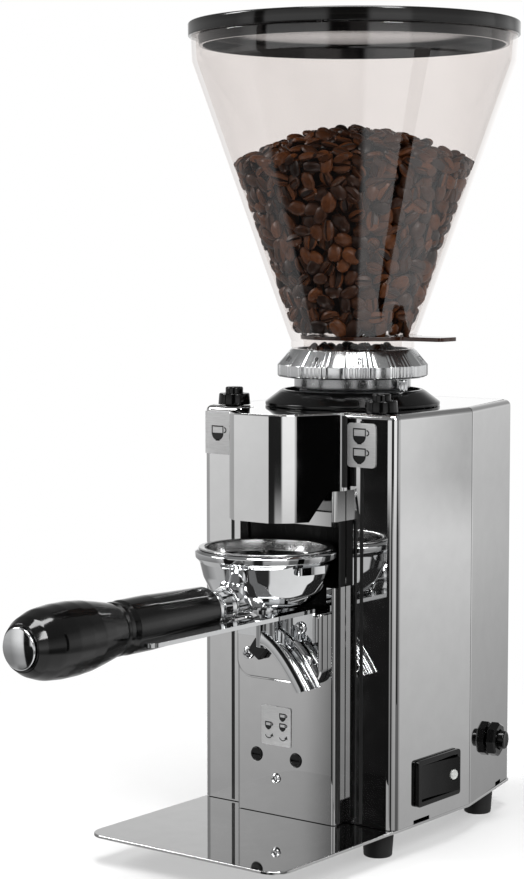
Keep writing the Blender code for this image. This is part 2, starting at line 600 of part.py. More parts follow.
# --- fork and portafilter -----------------------------------------------------------------
def fork_bracket():
    """Shallow folded tray on the column with rounded lower corners."""
    r = 9.0
    def outline(inset):
        half, low, rr = BRACKET_HALF - inset, BRACKET_LOW + inset, r - inset
        return ([(half, BRACKET_HIGH - inset), (-half, BRACKET_HIGH - inset)]
                + arc(-half + rr, low + rr, rr, 180, 270, 5) + arc(half - rr, low + rr, rr, 270, 360, 5))
    depth = COLUMN_FRONT - GAP - BRACKET_FRONT
    at = (0, COLUMN_FRONT - GAP, 0)
    tray = place("fork_bracket", prism(outline(0), 0, depth), STEEL, at, (90, 0, 0))
    cut(tray, "tray_hollow", prism(outline(1.5), -1, depth - 1.5), at, (90, 0, 0))
    for side in (-1, 1):
        for x, z in ((18.0, 81.6), (16.0, 98.0)):
            hole = disc(1.5, -8, 8, sides=12)
            cut(tray, f"hole_{side}_{x:.0f}", hole, (side * x, BRACKET_FRONT, z), (90, 0, 0))
    return tray


def portafilter_fork():
    """Two flat prongs with a web between them and a flange down the bracket."""
    back = BRACKET_FRONT - GAP
    tip = arc(0, 0, (PRONG_OUT - PRONG_IN) / 2, 180, 360, 6)
    mid = (PRONG_OUT + PRONG_IN) / 2
    right = [(mid + x, PRONG_TIP + 5 + y) for x, y in tip]
    web = back - PRONG_T
    outline = right + [(PRONG_OUT, back), (-PRONG_OUT, back)]
    outline += [(-x, y) for x, y in right[::-1]]
    outline += [(-PRONG_IN, web), (PRONG_IN, web)]
    fork = place("portafilter_fork", prism(outline, PRONG_TOP - PRONG_T, PRONG_TOP), CHROME)
    flange = block(-PRONG_OUT, PRONG_OUT, back - PRONG_T, back, 91.0, PRONG_TOP - 0.5)
    cut(fork, "flange", flange, how="UNION")
    for side in (-1, 1):
        hole = disc(1.5, -8, 8, sides=12)
        cut(fork, f"flange_hole_{side}", hole, (side * 16.0, back, 98.0), (90, 0, 0))
    return fork


def bump_stop():
    body = place("bump_stop", prism(rounded_box(4.2, 4.2, 1.0, 2), GAP, 4.2), BLACK_RUBBER,
                 (-9.5, BRACKET_FRONT, 85.0), (90, 35, 0))
    return bevel(body, 0.5)


def portafilter_cup():
    """Bowl with its rim ring, two locking ears and the boss for the handle."""
    outside = [(0, 108.5), (17, 108.5), (22.5, 110.6), (25.3, 115.9), (27.5, 120.8), (31.9, 128.2),
               (33.2, 130.9), (34.8, 131.5), (34.8, 134.6), (34.1, 136.0), (33.0, 136.4), (0, 136.4)]
    inside = [(0, 106), (4.3, 106), (4.3, 113.4), (20.0, 113.4), (23.2, 116.0), (25.3, 120.8),
              (29.6, 128.0), (31.0, 131.0), (31.0, 140), (0, 140)]
    at = (0, CUP_Y, 0)
    cup = place("portafilter_cup", turned(outside), CHROME, at)
    for k in range(2):
        ear = block(31.5, 37.0, -8, 8, 127.6, 131.3)
        cut(cup, f"ear_{k}", ear, at, (0, 0, -14 + 180 * k), how="UNION")
    boss = turned([(0, 19), (8.0, 19), (8.0, 31), (8.6, 33.0), (0, 33.0)], SMALL_ROUND)
    cut(cup, "boss", boss, (0, CUP_Y, HANDLE_Z + 1.2), (90, 0, 0), how="UNION")
    return cut(cup, "bowl", turned(inside), at)


def filter_basket():
    loop = [(0, 116.4), (22.3, 116.4), (24.5, 120.9), (28.9, 128.2), (30.3, 131.2), (30.3, 136.7),
            (33.0, 136.7), (33.0, 137.4), (29.4, 137.4), (29.4, 131.4), (28.0, 128.6),
            (23.6, 121.4), (21.5, 117.2), (0, 117.2)]
    return place("filter_basket", turned(loop), MACHINED, (0, CUP_Y, 0))


def spout_station(k, count):
    """Point and direction along the spout's channel, from under the cup out to the right."""
    t = k / count
    turn = radians(8 + 62 * t)
    return Vector((1.0 + 24.5 * t ** 0.9, 93.0 - 23.5 * t ** 1.45)), turn


def portafilter_spout():
    """Threaded pipe under the cup and one open curved channel."""
    pipe = turned([(3.2, 88), (5.0, 88), (5.0, 104.5), (6.4, 104.5), (6.4, 108.2), (3.2, 108.2)], SMALL_ROUND)
    spout = place("portafilter_spout", pipe, CHROME, (0, CUP_Y, 0))
    section = [(-6.0, 3.5), (-6.0, -3.0), (-3.5, -4.6), (3.5, -4.6), (6.0, -3.0), (6.0, 3.5),
               (4.7, 3.5), (4.7, -2.4), (2.9, -3.3), (-2.9, -3.3), (-4.7, -2.4), (-4.7, 3.5)]
    bm = bmesh.new()
    count = 8
    rows = []
    for k in range(count + 1):
        at, turn = spout_station(k, count)
        up = Vector((sin(turn), cos(turn)))
        rows.append([bm.verts.new((at.x + up.x * h, y, at.y + up.y * h)) for y, h in section])
    for a, b in zip(rows, rows[1:]):
        for k in range(len(section)):
            j = (k + 1) % len(section)
            bm.faces.new((a[k], a[j], b[j], b[k]))
    bm.faces.new(rows[0])
    bm.faces.new(rows[-1][::-1])
    cut(spout, "channel", bm, (0, CUP_Y, 0), how="UNION")
    return spout


def handle_parts():
    """Ferrule, glossy handle and end cap, all turned about the handle's axis (local Z runs to -Y)."""
    axis = joint_axis("handle_axis", (0, 0, HANDLE_Z), (90, 0, 0))
    start, end = -HANDLE_START, -HANDLE_END
    neck = [(0, 57.4), (8.6, 57.4), (8.2, 60), (8.6, 66), (10.2, 70), (10.2, start - GAP), (0, start - GAP)]
    place("handle_ferrule", turned(neck, 32), CHROME, parent=axis)
    loop = [(0, start), (10.6, start), (11.5, start + 1.2), (12.0, 95), (12.7, 114), (12.6, 131),
            (11.6, 134), (12.4, 135), (12.4, 137.4), (11.6, 138.2), (12.6, 140), (14.6, 150),
            (16.0, 158), (16.6, 165), (16.6, 176), (15.8, 184), (14.0, 190), (11.4, 194.6), (9.9, 196.4),
            (9.9, end - 2), (0, end - 2)]
    place("portafilter_handle", turned(loop, 40), BLACK_PLASTIC, parent=axis)
    cap = [(0, end - 2 + GAP), (9.4, end - 2 + GAP), (9.4, end - 0.2), (8.6, end + 0.1), (0, end + 0.4)]
    place("handle_end_cap", turned(cap, 32), CHROME, parent=axis)


# --- assembly -----------------------------------------------------------------------------
for old in list(bpy.data.objects):
    bpy.data.objects.remove(old)
FRAME = machine_frame()
FUSE_TURN = degrees(atan2(BODY_HALF - REAR_HALF, REAR_Y - BEND_Y))
FUSE_AXIS = joint_axis("fuse_axis", (taper_x(FUSE_Y), FUSE_Y, FUSE_Z), (0, 90, FUSE_TURN))
ROCKER_AXIS = joint_axis("rocker_axis", (BODY_HALF - 1.6, SWITCH_Y, SWITCH_Z))
LAMP_SEAT = joint_axis("lamp_seat", (BODY_HALF + 3.8, SWITCH_Y + 10.5, SWITCH_Z), (0, 90, -10))
LOCK_AXIS = joint_axis("lock_axis", (32.8, AXIS_Y - 2.9, COLLAR_TOP + GAP))

base_plate()
front_column()
cup_niche()
side_panel("left_side_panel", -1)
side_panel("right_side_panel", 1)
rear_cover()
top_cover()
outlet_hood()
fork_bracket()
portafilter_fork()
bump_stop()
screws()
labels()
feet()
hopper()
hopper_gate()
hopper_lid()
coffee_beans()
adjusting_collar()
adjusting_dial()
dial_lock_pin()
upper_burr_carrier()
upper_burr()
lower_burr()
lower_burr_carrier()
grinding_chamber()
outlet_chute()
motor_parts()
electrics()
for side_name, side_x in BUTTONS.items():
    button(side_name, side_x)
for side_name, side_x in TRIMMERS.items():
    trimmer(side_name, side_x)
power_switch()
fuse()
portafilter_cup()
filter_basket()
portafilter_spout()
handle_parts()
bpy.context.view_layer.update()
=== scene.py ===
"""The finish of a compact burr coffee grinder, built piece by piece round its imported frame.

Outlines are in millimetres of the machine's own frame: x = 0 is the middle plane, y = 0 the front
strips of the casing, z = 0 the top of the tray, and the front looks along -Y. piece() turns them
into metres and moves them to where the frame says that the casing stands.
"""
import random
from math import atan2, cos, degrees, hypot, pi, radians, sin, tan

import bmesh
import bpy
import numpy as np
from bpy.props import FloatProperty, FloatVectorProperty, IntProperty, PointerProperty
from mathutils import Matrix, Vector


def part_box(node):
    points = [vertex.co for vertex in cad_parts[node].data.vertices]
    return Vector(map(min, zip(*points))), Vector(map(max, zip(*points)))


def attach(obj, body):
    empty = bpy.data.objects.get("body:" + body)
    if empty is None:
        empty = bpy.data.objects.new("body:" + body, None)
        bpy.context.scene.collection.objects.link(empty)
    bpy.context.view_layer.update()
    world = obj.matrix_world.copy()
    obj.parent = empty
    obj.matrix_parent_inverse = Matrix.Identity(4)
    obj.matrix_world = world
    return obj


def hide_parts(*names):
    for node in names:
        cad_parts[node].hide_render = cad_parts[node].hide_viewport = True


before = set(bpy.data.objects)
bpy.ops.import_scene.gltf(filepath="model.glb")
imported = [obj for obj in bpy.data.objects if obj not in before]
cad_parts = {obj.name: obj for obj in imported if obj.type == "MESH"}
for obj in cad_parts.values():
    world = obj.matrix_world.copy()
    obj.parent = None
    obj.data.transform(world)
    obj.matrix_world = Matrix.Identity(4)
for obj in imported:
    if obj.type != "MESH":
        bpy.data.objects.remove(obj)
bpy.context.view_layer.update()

bl_info = {
    "name": "Burr Coffee Grinder",
    "version": (1, 0, 0),
    "blender": (4, 5, 0),
    "location": "3D View > Sidebar > Grinder",
    "description": "Builds the casing, hopper, beans, dial and filter holder of a burr coffee grinder",
    "category": "Add Mesh",
}

MM = 0.001
SHARP = radians(27)

# --- where things are, in millimetres of the machine frame ---------------------------------
ORIGIN = Vector((0.0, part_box("left_side_panel")[0][1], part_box("base_plate")[1][2]))


def in_frame(node):
    """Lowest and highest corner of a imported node, in millimetres of the machine frame."""
    low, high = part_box(node)
    return (Vector(low) - ORIGIN) / MM, (Vector(high) - ORIGIN) / MM


PANEL_HIGH = in_frame("right_side_panel")[1]
BODY_HALF, SEAM_Y, BODY_TOP = PANEL_HIGH.x, PANEL_HIGH.y + 0.3, PANEL_HIGH.z
REAR_Y = in_frame("rear_cover")[1].y
TRAY_FRONT = in_frame("base_plate")[0].y
COLUMN_HALF, COLUMN_FRONT = in_frame("front_column")[1].x, in_frame("front_column")[0].y
HOOD_FRONT = in_frame("outlet_hood")[0].y
CUP_Y = (in_frame("filter_basket")[0].y + in_frame("filter_basket")[1].y) / 2
AXIS_Y = (in_frame("hopper_lid")[0].y + in_frame("hopper_lid")[1].y) / 2
LID_R, LID_TOP = in_frame("hopper_lid")[1].x, in_frame("hopper_lid")[1].z
DIAL_R = in_frame("adjusting_dial")[1].x
HANDLE_END = in_frame("handle_end_cap")[0].y
BEND_Y, REAR_HALF = SEAM_Y + 1.0, 46.0
HANDLE_Z = 112.0
GAP = 0.3


def hex_colour(text):
    """An sRGB hex value as linear red, green, blue."""
    parts = [int(text[k:k + 2], 16) / 255 for k in (1, 3, 5)]
    return tuple(p / 12.92 if p <= 0.04045 else ((p + 0.055) / 1.055) ** 2.4 for p in parts)


# --- what a user may change ------------------------------------------------------------------
def length(name, description, default):
    return FloatProperty(name=name, description=description, default=default, min=0.0,
                         unit="LENGTH", subtype="DISTANCE", precision=4)


def colour(name, description, text):
    return FloatVectorProperty(name=name, description=description, default=hex_colour(text),
                               size=3, min=0.0, max=1.0, subtype="COLOR")


class GrinderSizes(bpy.types.PropertyGroup):
    """Sizes of the details that the frame leaves open."""
    hopper_wall: length("Hopper wall", "Thickness of the hopper's clear wall", 0.0025)
    bean_length: length("Bean length", "Length of a roasted bean", 0.0098)
    bean_width: length("Bean width", "Width of a roasted bean", 0.0072)
    bean_thickness: length("Bean thickness", "Thickness of a roasted bean", 0.0048)
    sheet_wave: length("Sheet wave", "Height of the slow waves in the polished sheet", 0.00003)
    icon_line: length("Icon line", "Line width of the printed cups", 0.0006)
    dial_lobes: IntProperty(name="Dial lobes", description="Smooth grips round the dial", default=10, min=3)


class GrinderColours(bpy.types.PropertyGroup):
    """Colours of the finishes."""
    steel: colour("Steel", "Polished stainless steel", "#DADADA")
    chrome: colour("Chrome", "Chrome plate", "#E2E3E4")
    black: colour("Black plastic", "Moulded black plastic", "#060606")
    rubber: colour("Rubber", "Moulded rubber", "#0A0A0A")
    bean_dark: colour("Bean, dark", "Darkest roasted bean", "#190B05")
    bean_light: colour("Bean, light", "Lightest roasted bean", "#6A3C1A")
    hopper: colour("Hopper", "Clear hopper plastic", "#FCFAF9")
    amber: colour("Amber", "Shut-off plate", "#3A1C0C")
    label: colour("Label", "Satin silver foil", "#D9D9D9")
    ink: colour("Ink", "Printed ink", "#101010")
    floor: colour("Floor", "Studio floor", "#F2F2F2")


def sizes():
    return bpy.context.scene.grinder_sizes


def colours():
    return bpy.context.scene.grinder_colours


# --- shader nodes ------------------------------------------------------------------------------
def node(tree, kind, inputs=None, stops=None, **settings):
    """Adds a shader node. inputs maps a socket to a value or to another node's output socket."""
    made = tree.nodes.new("ShaderNode" + kind)
    for key, value in settings.items():
        setattr(made, key, value)
    for key, value in (inputs or {}).items():
        if isinstance(value, bpy.types.NodeSocket):
            tree.links.new(value, made.inputs[key])
        else:
            made.inputs[key].default_value = value
    if stops:
        ramp = made.color_ramp
        while len(ramp.elements) > 1:
            ramp.elements.remove(ramp.elements[-1])
        ramp.elements[0].position, ramp.elements[0].color = stops[0][0], (*stops[0][1], 1.0)
        for place, rgb in stops[1:]:
            ramp.elements.new(place).color = (*rgb, 1.0)
    return made


def blank(name):
    """A new material with its tree, shader and place coordinates in metres."""
    material = bpy.data.materials.new(name)
    material.use_nodes = True
    tree = material.node_tree
    shader = tree.nodes["Principled BSDF"]
    place = node(tree, "TexCoord").outputs["Object"]
    return material, tree, shader, place


def connect(tree, shader, tint, gloss=None, bump=None):
    """Joins the colour, and the gloss and bump if there are any, to the shader."""
    for made, target in ((tint, "Base Color"), (gloss, "Roughness"), (bump, "Normal")):
        if made is not None:
            tree.links.new(made.outputs[0], shader.inputs[target])


def grey(level):
    return (level, level, level)


def per_metre(millimetres):
    """Noise scale whose features are this many millimetres across."""
    return 1.0 / (millimetres * MM)


MATERIALS = {}


def finish_of(maker):
    """Makes each finish once and hands out the same material after that."""
    def give():
        if maker.__name__ not in MATERIALS:
            MATERIALS[maker.__name__] = maker()
        return MATERIALS[maker.__name__]
    return give


@finish_of
def polished_stainless():
    """Stainless steel sheet, mirror polished: near-perfect reflections that slow waves in the sheet bend."""
    material, tree, shader, place = blank("stainless_steel_mirror_polished")
    wave = node(tree, "TexNoise", {"Vector": place, "Scale": per_metre(70), "Detail": 1.0})
    haze = node(tree, "TexNoise", {"Vector": place, "Scale": per_metre(9), "Detail": 4.0})
    gloss = node(tree, "MapRange", {"Value": haze.outputs["Fac"], "From Min": 0.3, "From Max": 0.75,
                                    "To Min": 0.02, "To Max": 0.05})
    bump = node(tree, "Bump", {"Height": wave.outputs["Fac"], "Strength": 1.0,
                               "Distance": sizes().sheet_wave})
    tint = node(tree, "ValToRGB", {"Fac": haze.outputs["Fac"]},
                stops=[(0.3, [0.96 * c for c in colours().steel]), (0.7, tuple(colours().steel))])
    connect(tree, shader, tint, gloss, bump)
    shader.inputs["Metallic"].default_value = 1.0
    return material


@finish_of
def chrome_plate():
    """Chrome plate on brass: bright, slightly cool and clean, with faint wiping marks."""
    material, tree, shader, place = blank("chrome_plate")
    wipe = node(tree, "TexNoise", {"Vector": place, "Scale": per_metre(5), "Detail": 5.0})
    gloss = node(tree, "MapRange", {"Value": wipe.outputs["Fac"], "From Min": 0.35, "From Max": 0.7,
                                    "To Min": 0.02, "To Max": 0.06})
    tint = node(tree, "ValToRGB", {"Fac": wipe.outputs["Fac"]},
                stops=[(0.35, [0.97 * c for c in colours().chrome]), (0.7, tuple(colours().chrome))])
    connect(tree, shader, tint, gloss)
    shader.inputs["Metallic"].default_value = 1.0
    return material


@finish_of
def satin_chrome():
    """Chrome plate over a fine-blasted casting: bright, with reflections spread soft."""
    material, tree, shader, place = blank("chrome_plate_satin")
    grit = node(tree, "TexNoise", {"Vector": place, "Scale": per_metre(1.2), "Detail": 3.0})
    gloss = node(tree, "MapRange", {"Value": grit.outputs["Fac"], "From Min": 0.35, "From Max": 0.7,
                                    "To Min": 0.16, "To Max": 0.24})
    tint = node(tree, "ValToRGB", {"Fac": grit.outputs["Fac"]},
                stops=[(0.35, [0.95 * c for c in colours().chrome]), (0.7, tuple(colours().chrome))])
    connect(tree, shader, tint, gloss)
    shader.inputs["Metallic"].default_value = 1.0
    return material


def moulded(name, rgb, low, high, grain_mm, depth_mm, coat=0.0, shine=0.5):
    """Shared make-up of moulded plastic and rubber: tone and gloss drift a little, with a fine grain."""
    material, tree, shader, place = blank(name)
    drift = node(tree, "TexNoise", {"Vector": place, "Scale": per_metre(14), "Detail": 3.0})
    grain = node(tree, "TexNoise", {"Vector": place, "Scale": per_metre(grain_mm), "Detail": 2.0})
    tint = node(tree, "ValToRGB", {"Fac": drift.outputs["Fac"]},
                stops=[(0.35, [0.8 * c for c in rgb]), (0.7, [1.25 * c for c in rgb])])
    gloss = node(tree, "MapRange", {"Value": drift.outputs["Fac"], "From Min": 0.3, "From Max": 0.7,
                                    "To Min": low, "To Max": high})
    bump = node(tree, "Bump", {"Height": grain.outputs["Fac"], "Strength": 0.6,
                               "Distance": depth_mm * MM})
    connect(tree, shader, tint, gloss, bump)
    shader.inputs["IOR"].default_value = 1.5
    shader.inputs["Specular IOR Level"].default_value = shine
    if coat:
        shader.inputs["Coat Weight"].default_value = coat
        shader.inputs["Coat Roughness"].default_value = 0.04
    return material


@finish_of
def black_phenolic():
    """Phenolic handle, buffed after moulding: deep black under a hard gloss."""
    return moulded("phenolic_resin_buffed", colours().black, 0.08, 0.14, 9.0, 0.002, shine=0.45)


@finish_of
def black_abs():
    """Glossy moulded ABS: black with small soft highlights."""
    return moulded("abs_gloss_moulded", colours().black, 0.1, 0.18, 3.0, 0.003, shine=0.3)


@finish_of
def black_abs_satin():
    """Satin moulded ABS of the inner pieces: dull black with a fine spark texture."""
    return moulded("abs_spark_textured", colours().black, 0.42, 0.55, 0.5, 0.02, shine=0.3)


@finish_of
def black_rubber():
    """Moulded rubber: dull, slightly dusty black."""
    return moulded("rubber_moulded", colours().rubber, 0.55, 0.75, 0.8, 0.02)


@finish_of
def lid_abs():
    """Lid of glossy ABS with the faint rings of its turned mould."""
    material, tree, shader, place = blank("abs_gloss_turned_mould")
    split = node(tree, "SeparateXYZ", {"Vector": place})
    rings = node(tree, "TexNoise", {"W": split.outputs["Z"], "Scale": per_metre(0.9), "Detail": 2.0},
                 noise_dimensions="1D")
    gloss = node(tree, "MapRange", {"Value": rings.outputs["Fac"], "From Min": 0.3, "From Max": 0.7,
                                    "To Min": 0.05, "To Max": 0.11})
    tint = node(tree, "ValToRGB", {"Fac": rings.outputs["Fac"]},
                stops=[(0.3, hex_colour("#0A0A0A")), (0.7, hex_colour("#161514"))])
    connect(tree, shader, tint, gloss)
    return material


@finish_of
def clear_hopper():
    """Injection-moulded clear polycarbonate: see-through, faintly smoky, glossy at grazing angles."""
    material, tree, shader, place = blank("polycarbonate_clear_moulded")
    tree.nodes.remove(shader)
    haze = node(tree, "TexNoise", {"Vector": place, "Scale": per_metre(30), "Detail": 2.0})
    tint = node(tree, "ValToRGB", {"Fac": haze.outputs["Fac"]},
                stops=[(0.3, [0.985 * c for c in colours().hopper]), (0.7, tuple(colours().hopper))])
    clear = node(tree, "BsdfTransparent", {"Color": tint.outputs["Color"]})
    shine = node(tree, "BsdfGlossy", {"Color": (1, 1, 1, 1), "Roughness": 0.04})
    facing = node(tree, "LayerWeight", {"Blend": 0.5}).outputs["Facing"]
    grazing = node(tree, "Math", {0: facing, 1: 4.0}, operation="POWER")
    outside = node(tree, "Math", {0: 1.0, 1: node(tree, "NewGeometry").outputs["Backfacing"]},
                   operation="SUBTRACT")
    edge = node(tree, "MapRange", {"Value": grazing.outputs["Value"], "To Min": 0.08, "To Max": 0.55})
    front = node(tree, "Math", {0: edge.outputs["Result"], 1: outside.outputs["Value"]},
                 operation="MULTIPLY")
    both = node(tree, "MixShader", {0: front.outputs["Value"], 1: clear.outputs["BSDF"],
                                    2: shine.outputs["BSDF"]})
    tree.links.new(both.outputs["Shader"], tree.nodes["Material Output"].inputs["Surface"])
    return material


@finish_of
def amber_acrylic():
    """Cast acrylic shut-off plate: dark amber, glossy, glowing a little at its edges."""
    material, tree, shader, place = blank("acrylic_dark_amber")
    cloud = node(tree, "TexNoise", {"Vector": place, "Scale": per_metre(8), "Detail": 2.0})
    tint = node(tree, "ValToRGB", {"Fac": cloud.outputs["Fac"]},
                stops=[(0.3, [0.7 * c for c in colours().amber]), (0.7, tuple(colours().amber))])
    connect(tree, shader, tint)
    shader.inputs["Roughness"].default_value = 0.08
    shader.inputs["Transmission Weight"].default_value = 0.25
    shader.inputs["IOR"].default_value = 1.49
    return material


@finish_of
def silver_foil():
    """Satin silver foil label: fine brushing along its width."""
    material, tree, shader, place = blank("aluminium_foil_satin")
    stretch = node(tree, "Mapping", {"Vector": place, "Scale": (0.06, 0.06, 1.0)})
    brush = node(tree, "TexNoise", {"Vector": stretch.outputs["Vector"], "Scale": per_metre(0.25),
                                    "Detail": 3.0})
    tint = node(tree, "ValToRGB", {"Fac": brush.outputs["Fac"]},
                stops=[(0.3, [0.85 * c for c in colours().label]), (0.7, tuple(colours().label))])
    connect(tree, shader, tint)
    shader.inputs["Metallic"].default_value = 0.35
    shader.inputs["Roughness"].default_value = 0.38
    return material


@finish_of
def printed_ink():
    """Screen-printed ink: flat black with slightly uneven cover."""
    return moulded("ink_screen_printed", colours().ink, 0.45, 0.6, 0.4, 0.002)


@finish_of
def roasted_bean():
    """Medium roast: each bean has its own brown, an oily sheen and a pale crease."""
    material, tree, shader, place = blank("coffee_bean_roasted")
    island = node(tree, "NewGeometry").outputs["Random Per Island"]
    dark, light = colours().bean_dark, colours().bean_light
    own = node(tree, "ValToRGB", {"Fac": island},
               stops=[(0.0, tuple(dark)), (0.45, [(2 * a + b) / 3 for a, b in zip(dark, light)]),
                      (1.0, tuple(light))])
    mottle = node(tree, "TexNoise", {"Vector": place, "Scale": per_metre(1.4), "Detail": 4.0})
    shade = node(tree, "MapRange", {"Value": mottle.outputs["Fac"], "From Min": 0.3, "From Max": 0.7,
                                    "To Min": 0.72, "To Max": 1.15})
    toned = node(tree, "VectorMath", {0: own.outputs["Color"], "Scale": shade.outputs["Result"]},
                 operation="SCALE")
    gloss = node(tree, "MapRange", {"Value": mottle.outputs["Fac"], "To Min": 0.28, "To Max": 0.5})
    wrinkle = node(tree, "TexNoise", {"Vector": place, "Scale": per_metre(0.8), "Detail": 3.0})
    bump = node(tree, "Bump", {"Height": wrinkle.outputs["Fac"], "Strength": 0.5, "Distance": 0.15 * MM})
    connect(tree, shader, toned, gloss, bump)
    shader.inputs["Specular IOR Level"].default_value = 0.35
    return material


@finish_of
def pressed_stainless():
    """Pressed and tumbled stainless steel of the basket: bright, with a soft satin haze."""
    material, tree, shader, place = blank("stainless_steel_pressed")
    drawn = node(tree, "TexNoise", {"Vector": place, "Scale": per_metre(1.2), "Detail": 4.0})
    gloss = node(tree, "MapRange", {"Value": drawn.outputs["Fac"], "From Min": 0.3, "From Max": 0.7,
                                    "To Min": 0.12, "To Max": 0.22})
    tree.links.new(gloss.outputs["Result"], shader.inputs["Roughness"])
    shader.inputs["Base Color"].default_value = (*hex_colour("#D2D2D2"), 1.0)
    shader.inputs["Metallic"].default_value = 1.0
    return material


def worked_metal(name, text, low, high, grain_mm, depth_mm):
    """Shared make-up of the unseen metal parts: turned, cast or varnished."""
    material, tree, shader, place = blank(name)
    grain = node(tree, "TexNoise", {"Vector": place, "Scale": per_metre(grain_mm), "Detail": 4.0})
    gloss = node(tree, "MapRange", {"Value": grain.outputs["Fac"], "To Min": low, "To Max": high})
    bump = node(tree, "Bump", {"Height": grain.outputs["Fac"], "Strength": 0.7, "Distance": depth_mm * MM})
    tint = node(tree, "ValToRGB", {"Fac": grain.outputs["Fac"]},
                stops=[(0.3, [0.8 * c for c in hex_colour(text)]), (0.7, hex_colour(text))])
    connect(tree, shader, tint, gloss, bump)
    shader.inputs["Metallic"].default_value = 1.0
    return material


@finish_of
def turned_steel():
    """Hardened steel, turned and ground: grey with a fine satin."""
    return worked_metal("steel_turned", "#A9ABAE", 0.25, 0.42, 0.3, 0.01)


@finish_of
def cast_aluminium():
    """Die-cast aluminium, left as cast: pale grey and slightly pebbled."""
    return worked_metal("aluminium_die_cast", "#A6A8AA", 0.45, 0.65, 0.9, 0.06)


@finish_of
def varnished_laminations():
    """Stacked motor laminations in dark varnish: thin rings along the shaft."""
    material, tree, shader, place = blank("laminations_varnished")
    split = node(tree, "SeparateXYZ", {"Vector": place})
    sheets = node(tree, "TexNoise", {"W": split.outputs["Z"], "Scale": per_metre(0.5)},
                  noise_dimensions="1D")
    tint = node(tree, "ValToRGB", {"Fac": sheets.outputs["Fac"]},
                stops=[(0.35, hex_colour("#1E2226")), (0.65, hex_colour("#3B4146"))])
    connect(tree, shader, tint)
    shader.inputs["Roughness"].default_value = 0.4
    shader.inputs["Metallic"].default_value = 0.4
    return material


@finish_of
def grey_case():
    """Grey moulded capacitor case."""
    return moulded("polypropylene_grey", hex_colour("#A4A6A8"), 0.35, 0.5, 1.0, 0.01)


@finish_of
def circuit_board():
    """Green solder mask over glass-epoxy laminate."""
    return moulded("solder_mask_green", hex_colour("#12502A"), 0.25, 0.4, 2.0, 0.01)


@finish_of
def lamp_lens():
    """Pale grey lens of the indicator."""
    return moulded("polystyrene_lens", hex_colour("#C9CBC8"), 0.12, 0.2, 3.0, 0.005, coat=0.4)


# --- shapes, all in millimetres ----------------------------------------------------------------
def arc(cx, cy, r, start, stop, steps):
    """Points on a circle from start to stop degrees."""
    turn = [radians(start + (stop - start) * k / steps) for k in range(steps + 1)]
    return [(cx + r * cos(a), cy + r * sin(a)) for a in turn]


def rounded(corners, steps=4):
    """A closed outline of (x, y, radius) corners, each rounded to its radius."""
    outline = []
    for k, (x, y, r) in enumerate(corners):
        here = Vector((x, y))
        if not r:
            outline.append((x, y))
            continue
        back = Vector(corners[k - 1][:2]) - here
        ahead = Vector(corners[(k + 1) % len(corners)][:2]) - here
        half = back.angle(ahead) / 2
        reach = min(r / tan(half), 0.48 * back.length, 0.48 * ahead.length)
        a, b = back.normalized(), ahead.normalized()
        centre = here + (a + b).normalized() * (reach / cos(half))
        first, last = here + a * reach - centre, here + b * reach - centre
        angle = atan2(first.y, first.x)
        sweep = (atan2(last.y, last.x) - angle + pi) % (2 * pi) - pi
        for s in range(steps + 1):
            t = angle + sweep * s / steps
            outline.append(tuple(centre + first.length * Vector((cos(t), sin(t)))))
    return outline


def rounded_box(half_x, half_y, r):
    return rounded([(half_x, half_y, r), (-half_x, half_y, r), (-half_x, -half_y, r),
                    (half_x, -half_y, r)], 5)


def bulged(a, b, turn, steps):
    """Points from a to b along an arc that turns by this many degrees."""
    a, b = Vector(a), Vector(b)
    half = radians(turn) / 2
    along = b - a
    centre = (a + b) / 2 + Vector((-along.y, along.x)) / (2 * tan(half))
    start = atan2(a.y - centre.y, a.x - centre.x)
    r = (a - centre).length
    return [(centre.x + r * cos(start + 2 * half * k / steps),
             centre.y + r * sin(start + 2 * half * k / steps)) for k in range(steps + 1)]


def turned(profile, sides=96, radius_at=None):
    """A solid of revolution round Z. profile is a closed loop of (r, z); r = 0 closes on the axis."""
    bm = bmesh.new()
    rings = []
    for r, z in profile:
        if r < 1e-6:
            rings.append([bm.verts.new((0.0, 0.0, z))])
            continue
        ring = []
        for k in range(sides):
            a = 2 * pi * k / sides
            rr, zz = radius_at(r, z, a) if radius_at else (r, z)
            ring.append(bm.verts.new((rr * cos(a), rr * sin(a), zz)))
        rings.append(ring)
    for lower, upper in zip(rings, rings[1:] + rings[:1]):
        for k in range(sides):
            j = (k + 1) % sides
            if len(lower) == 1 and len(upper) == 1:
                break
            if len(lower) == 1:
                bm.faces.new((lower[0], upper[j], upper[k]))
            elif len(upper) == 1:
                bm.faces.new((lower[k], lower[j], upper[0]))
            else:
                bm.faces.new((lower[k], lower[j], upper[j], upper[k]))
    return bm


def disc(r, z0, z1, edge=0.0, sides=64):
    """A turned disc or pin with rounded edges."""
    return turned(rounded([(0, z0, 0), (r, z0, edge), (r, z1, edge), (0, z1, 0)]), sides)


def prism(outline, z0, z1):
    """Extrudes a plan outline from z0 to z1."""
    bm = bmesh.new()
    low = [bm.verts.new((x, y, z0)) for x, y in outline]
    high = [bm.verts.new((x, y, z1)) for x, y in outline]
    bm.faces.new(low[::-1])
    bm.faces.new(high)
    for k in range(len(outline)):
        j = (k + 1) % len(outline)
        bm.faces.new((low[k], low[j], high[j], high[k]))
    return bm


def block(x0, x1, y0, y1, z0, z1):
    return prism([(x0, y0), (x1, y0), (x1, y1), (x0, y1)], z0, z1)


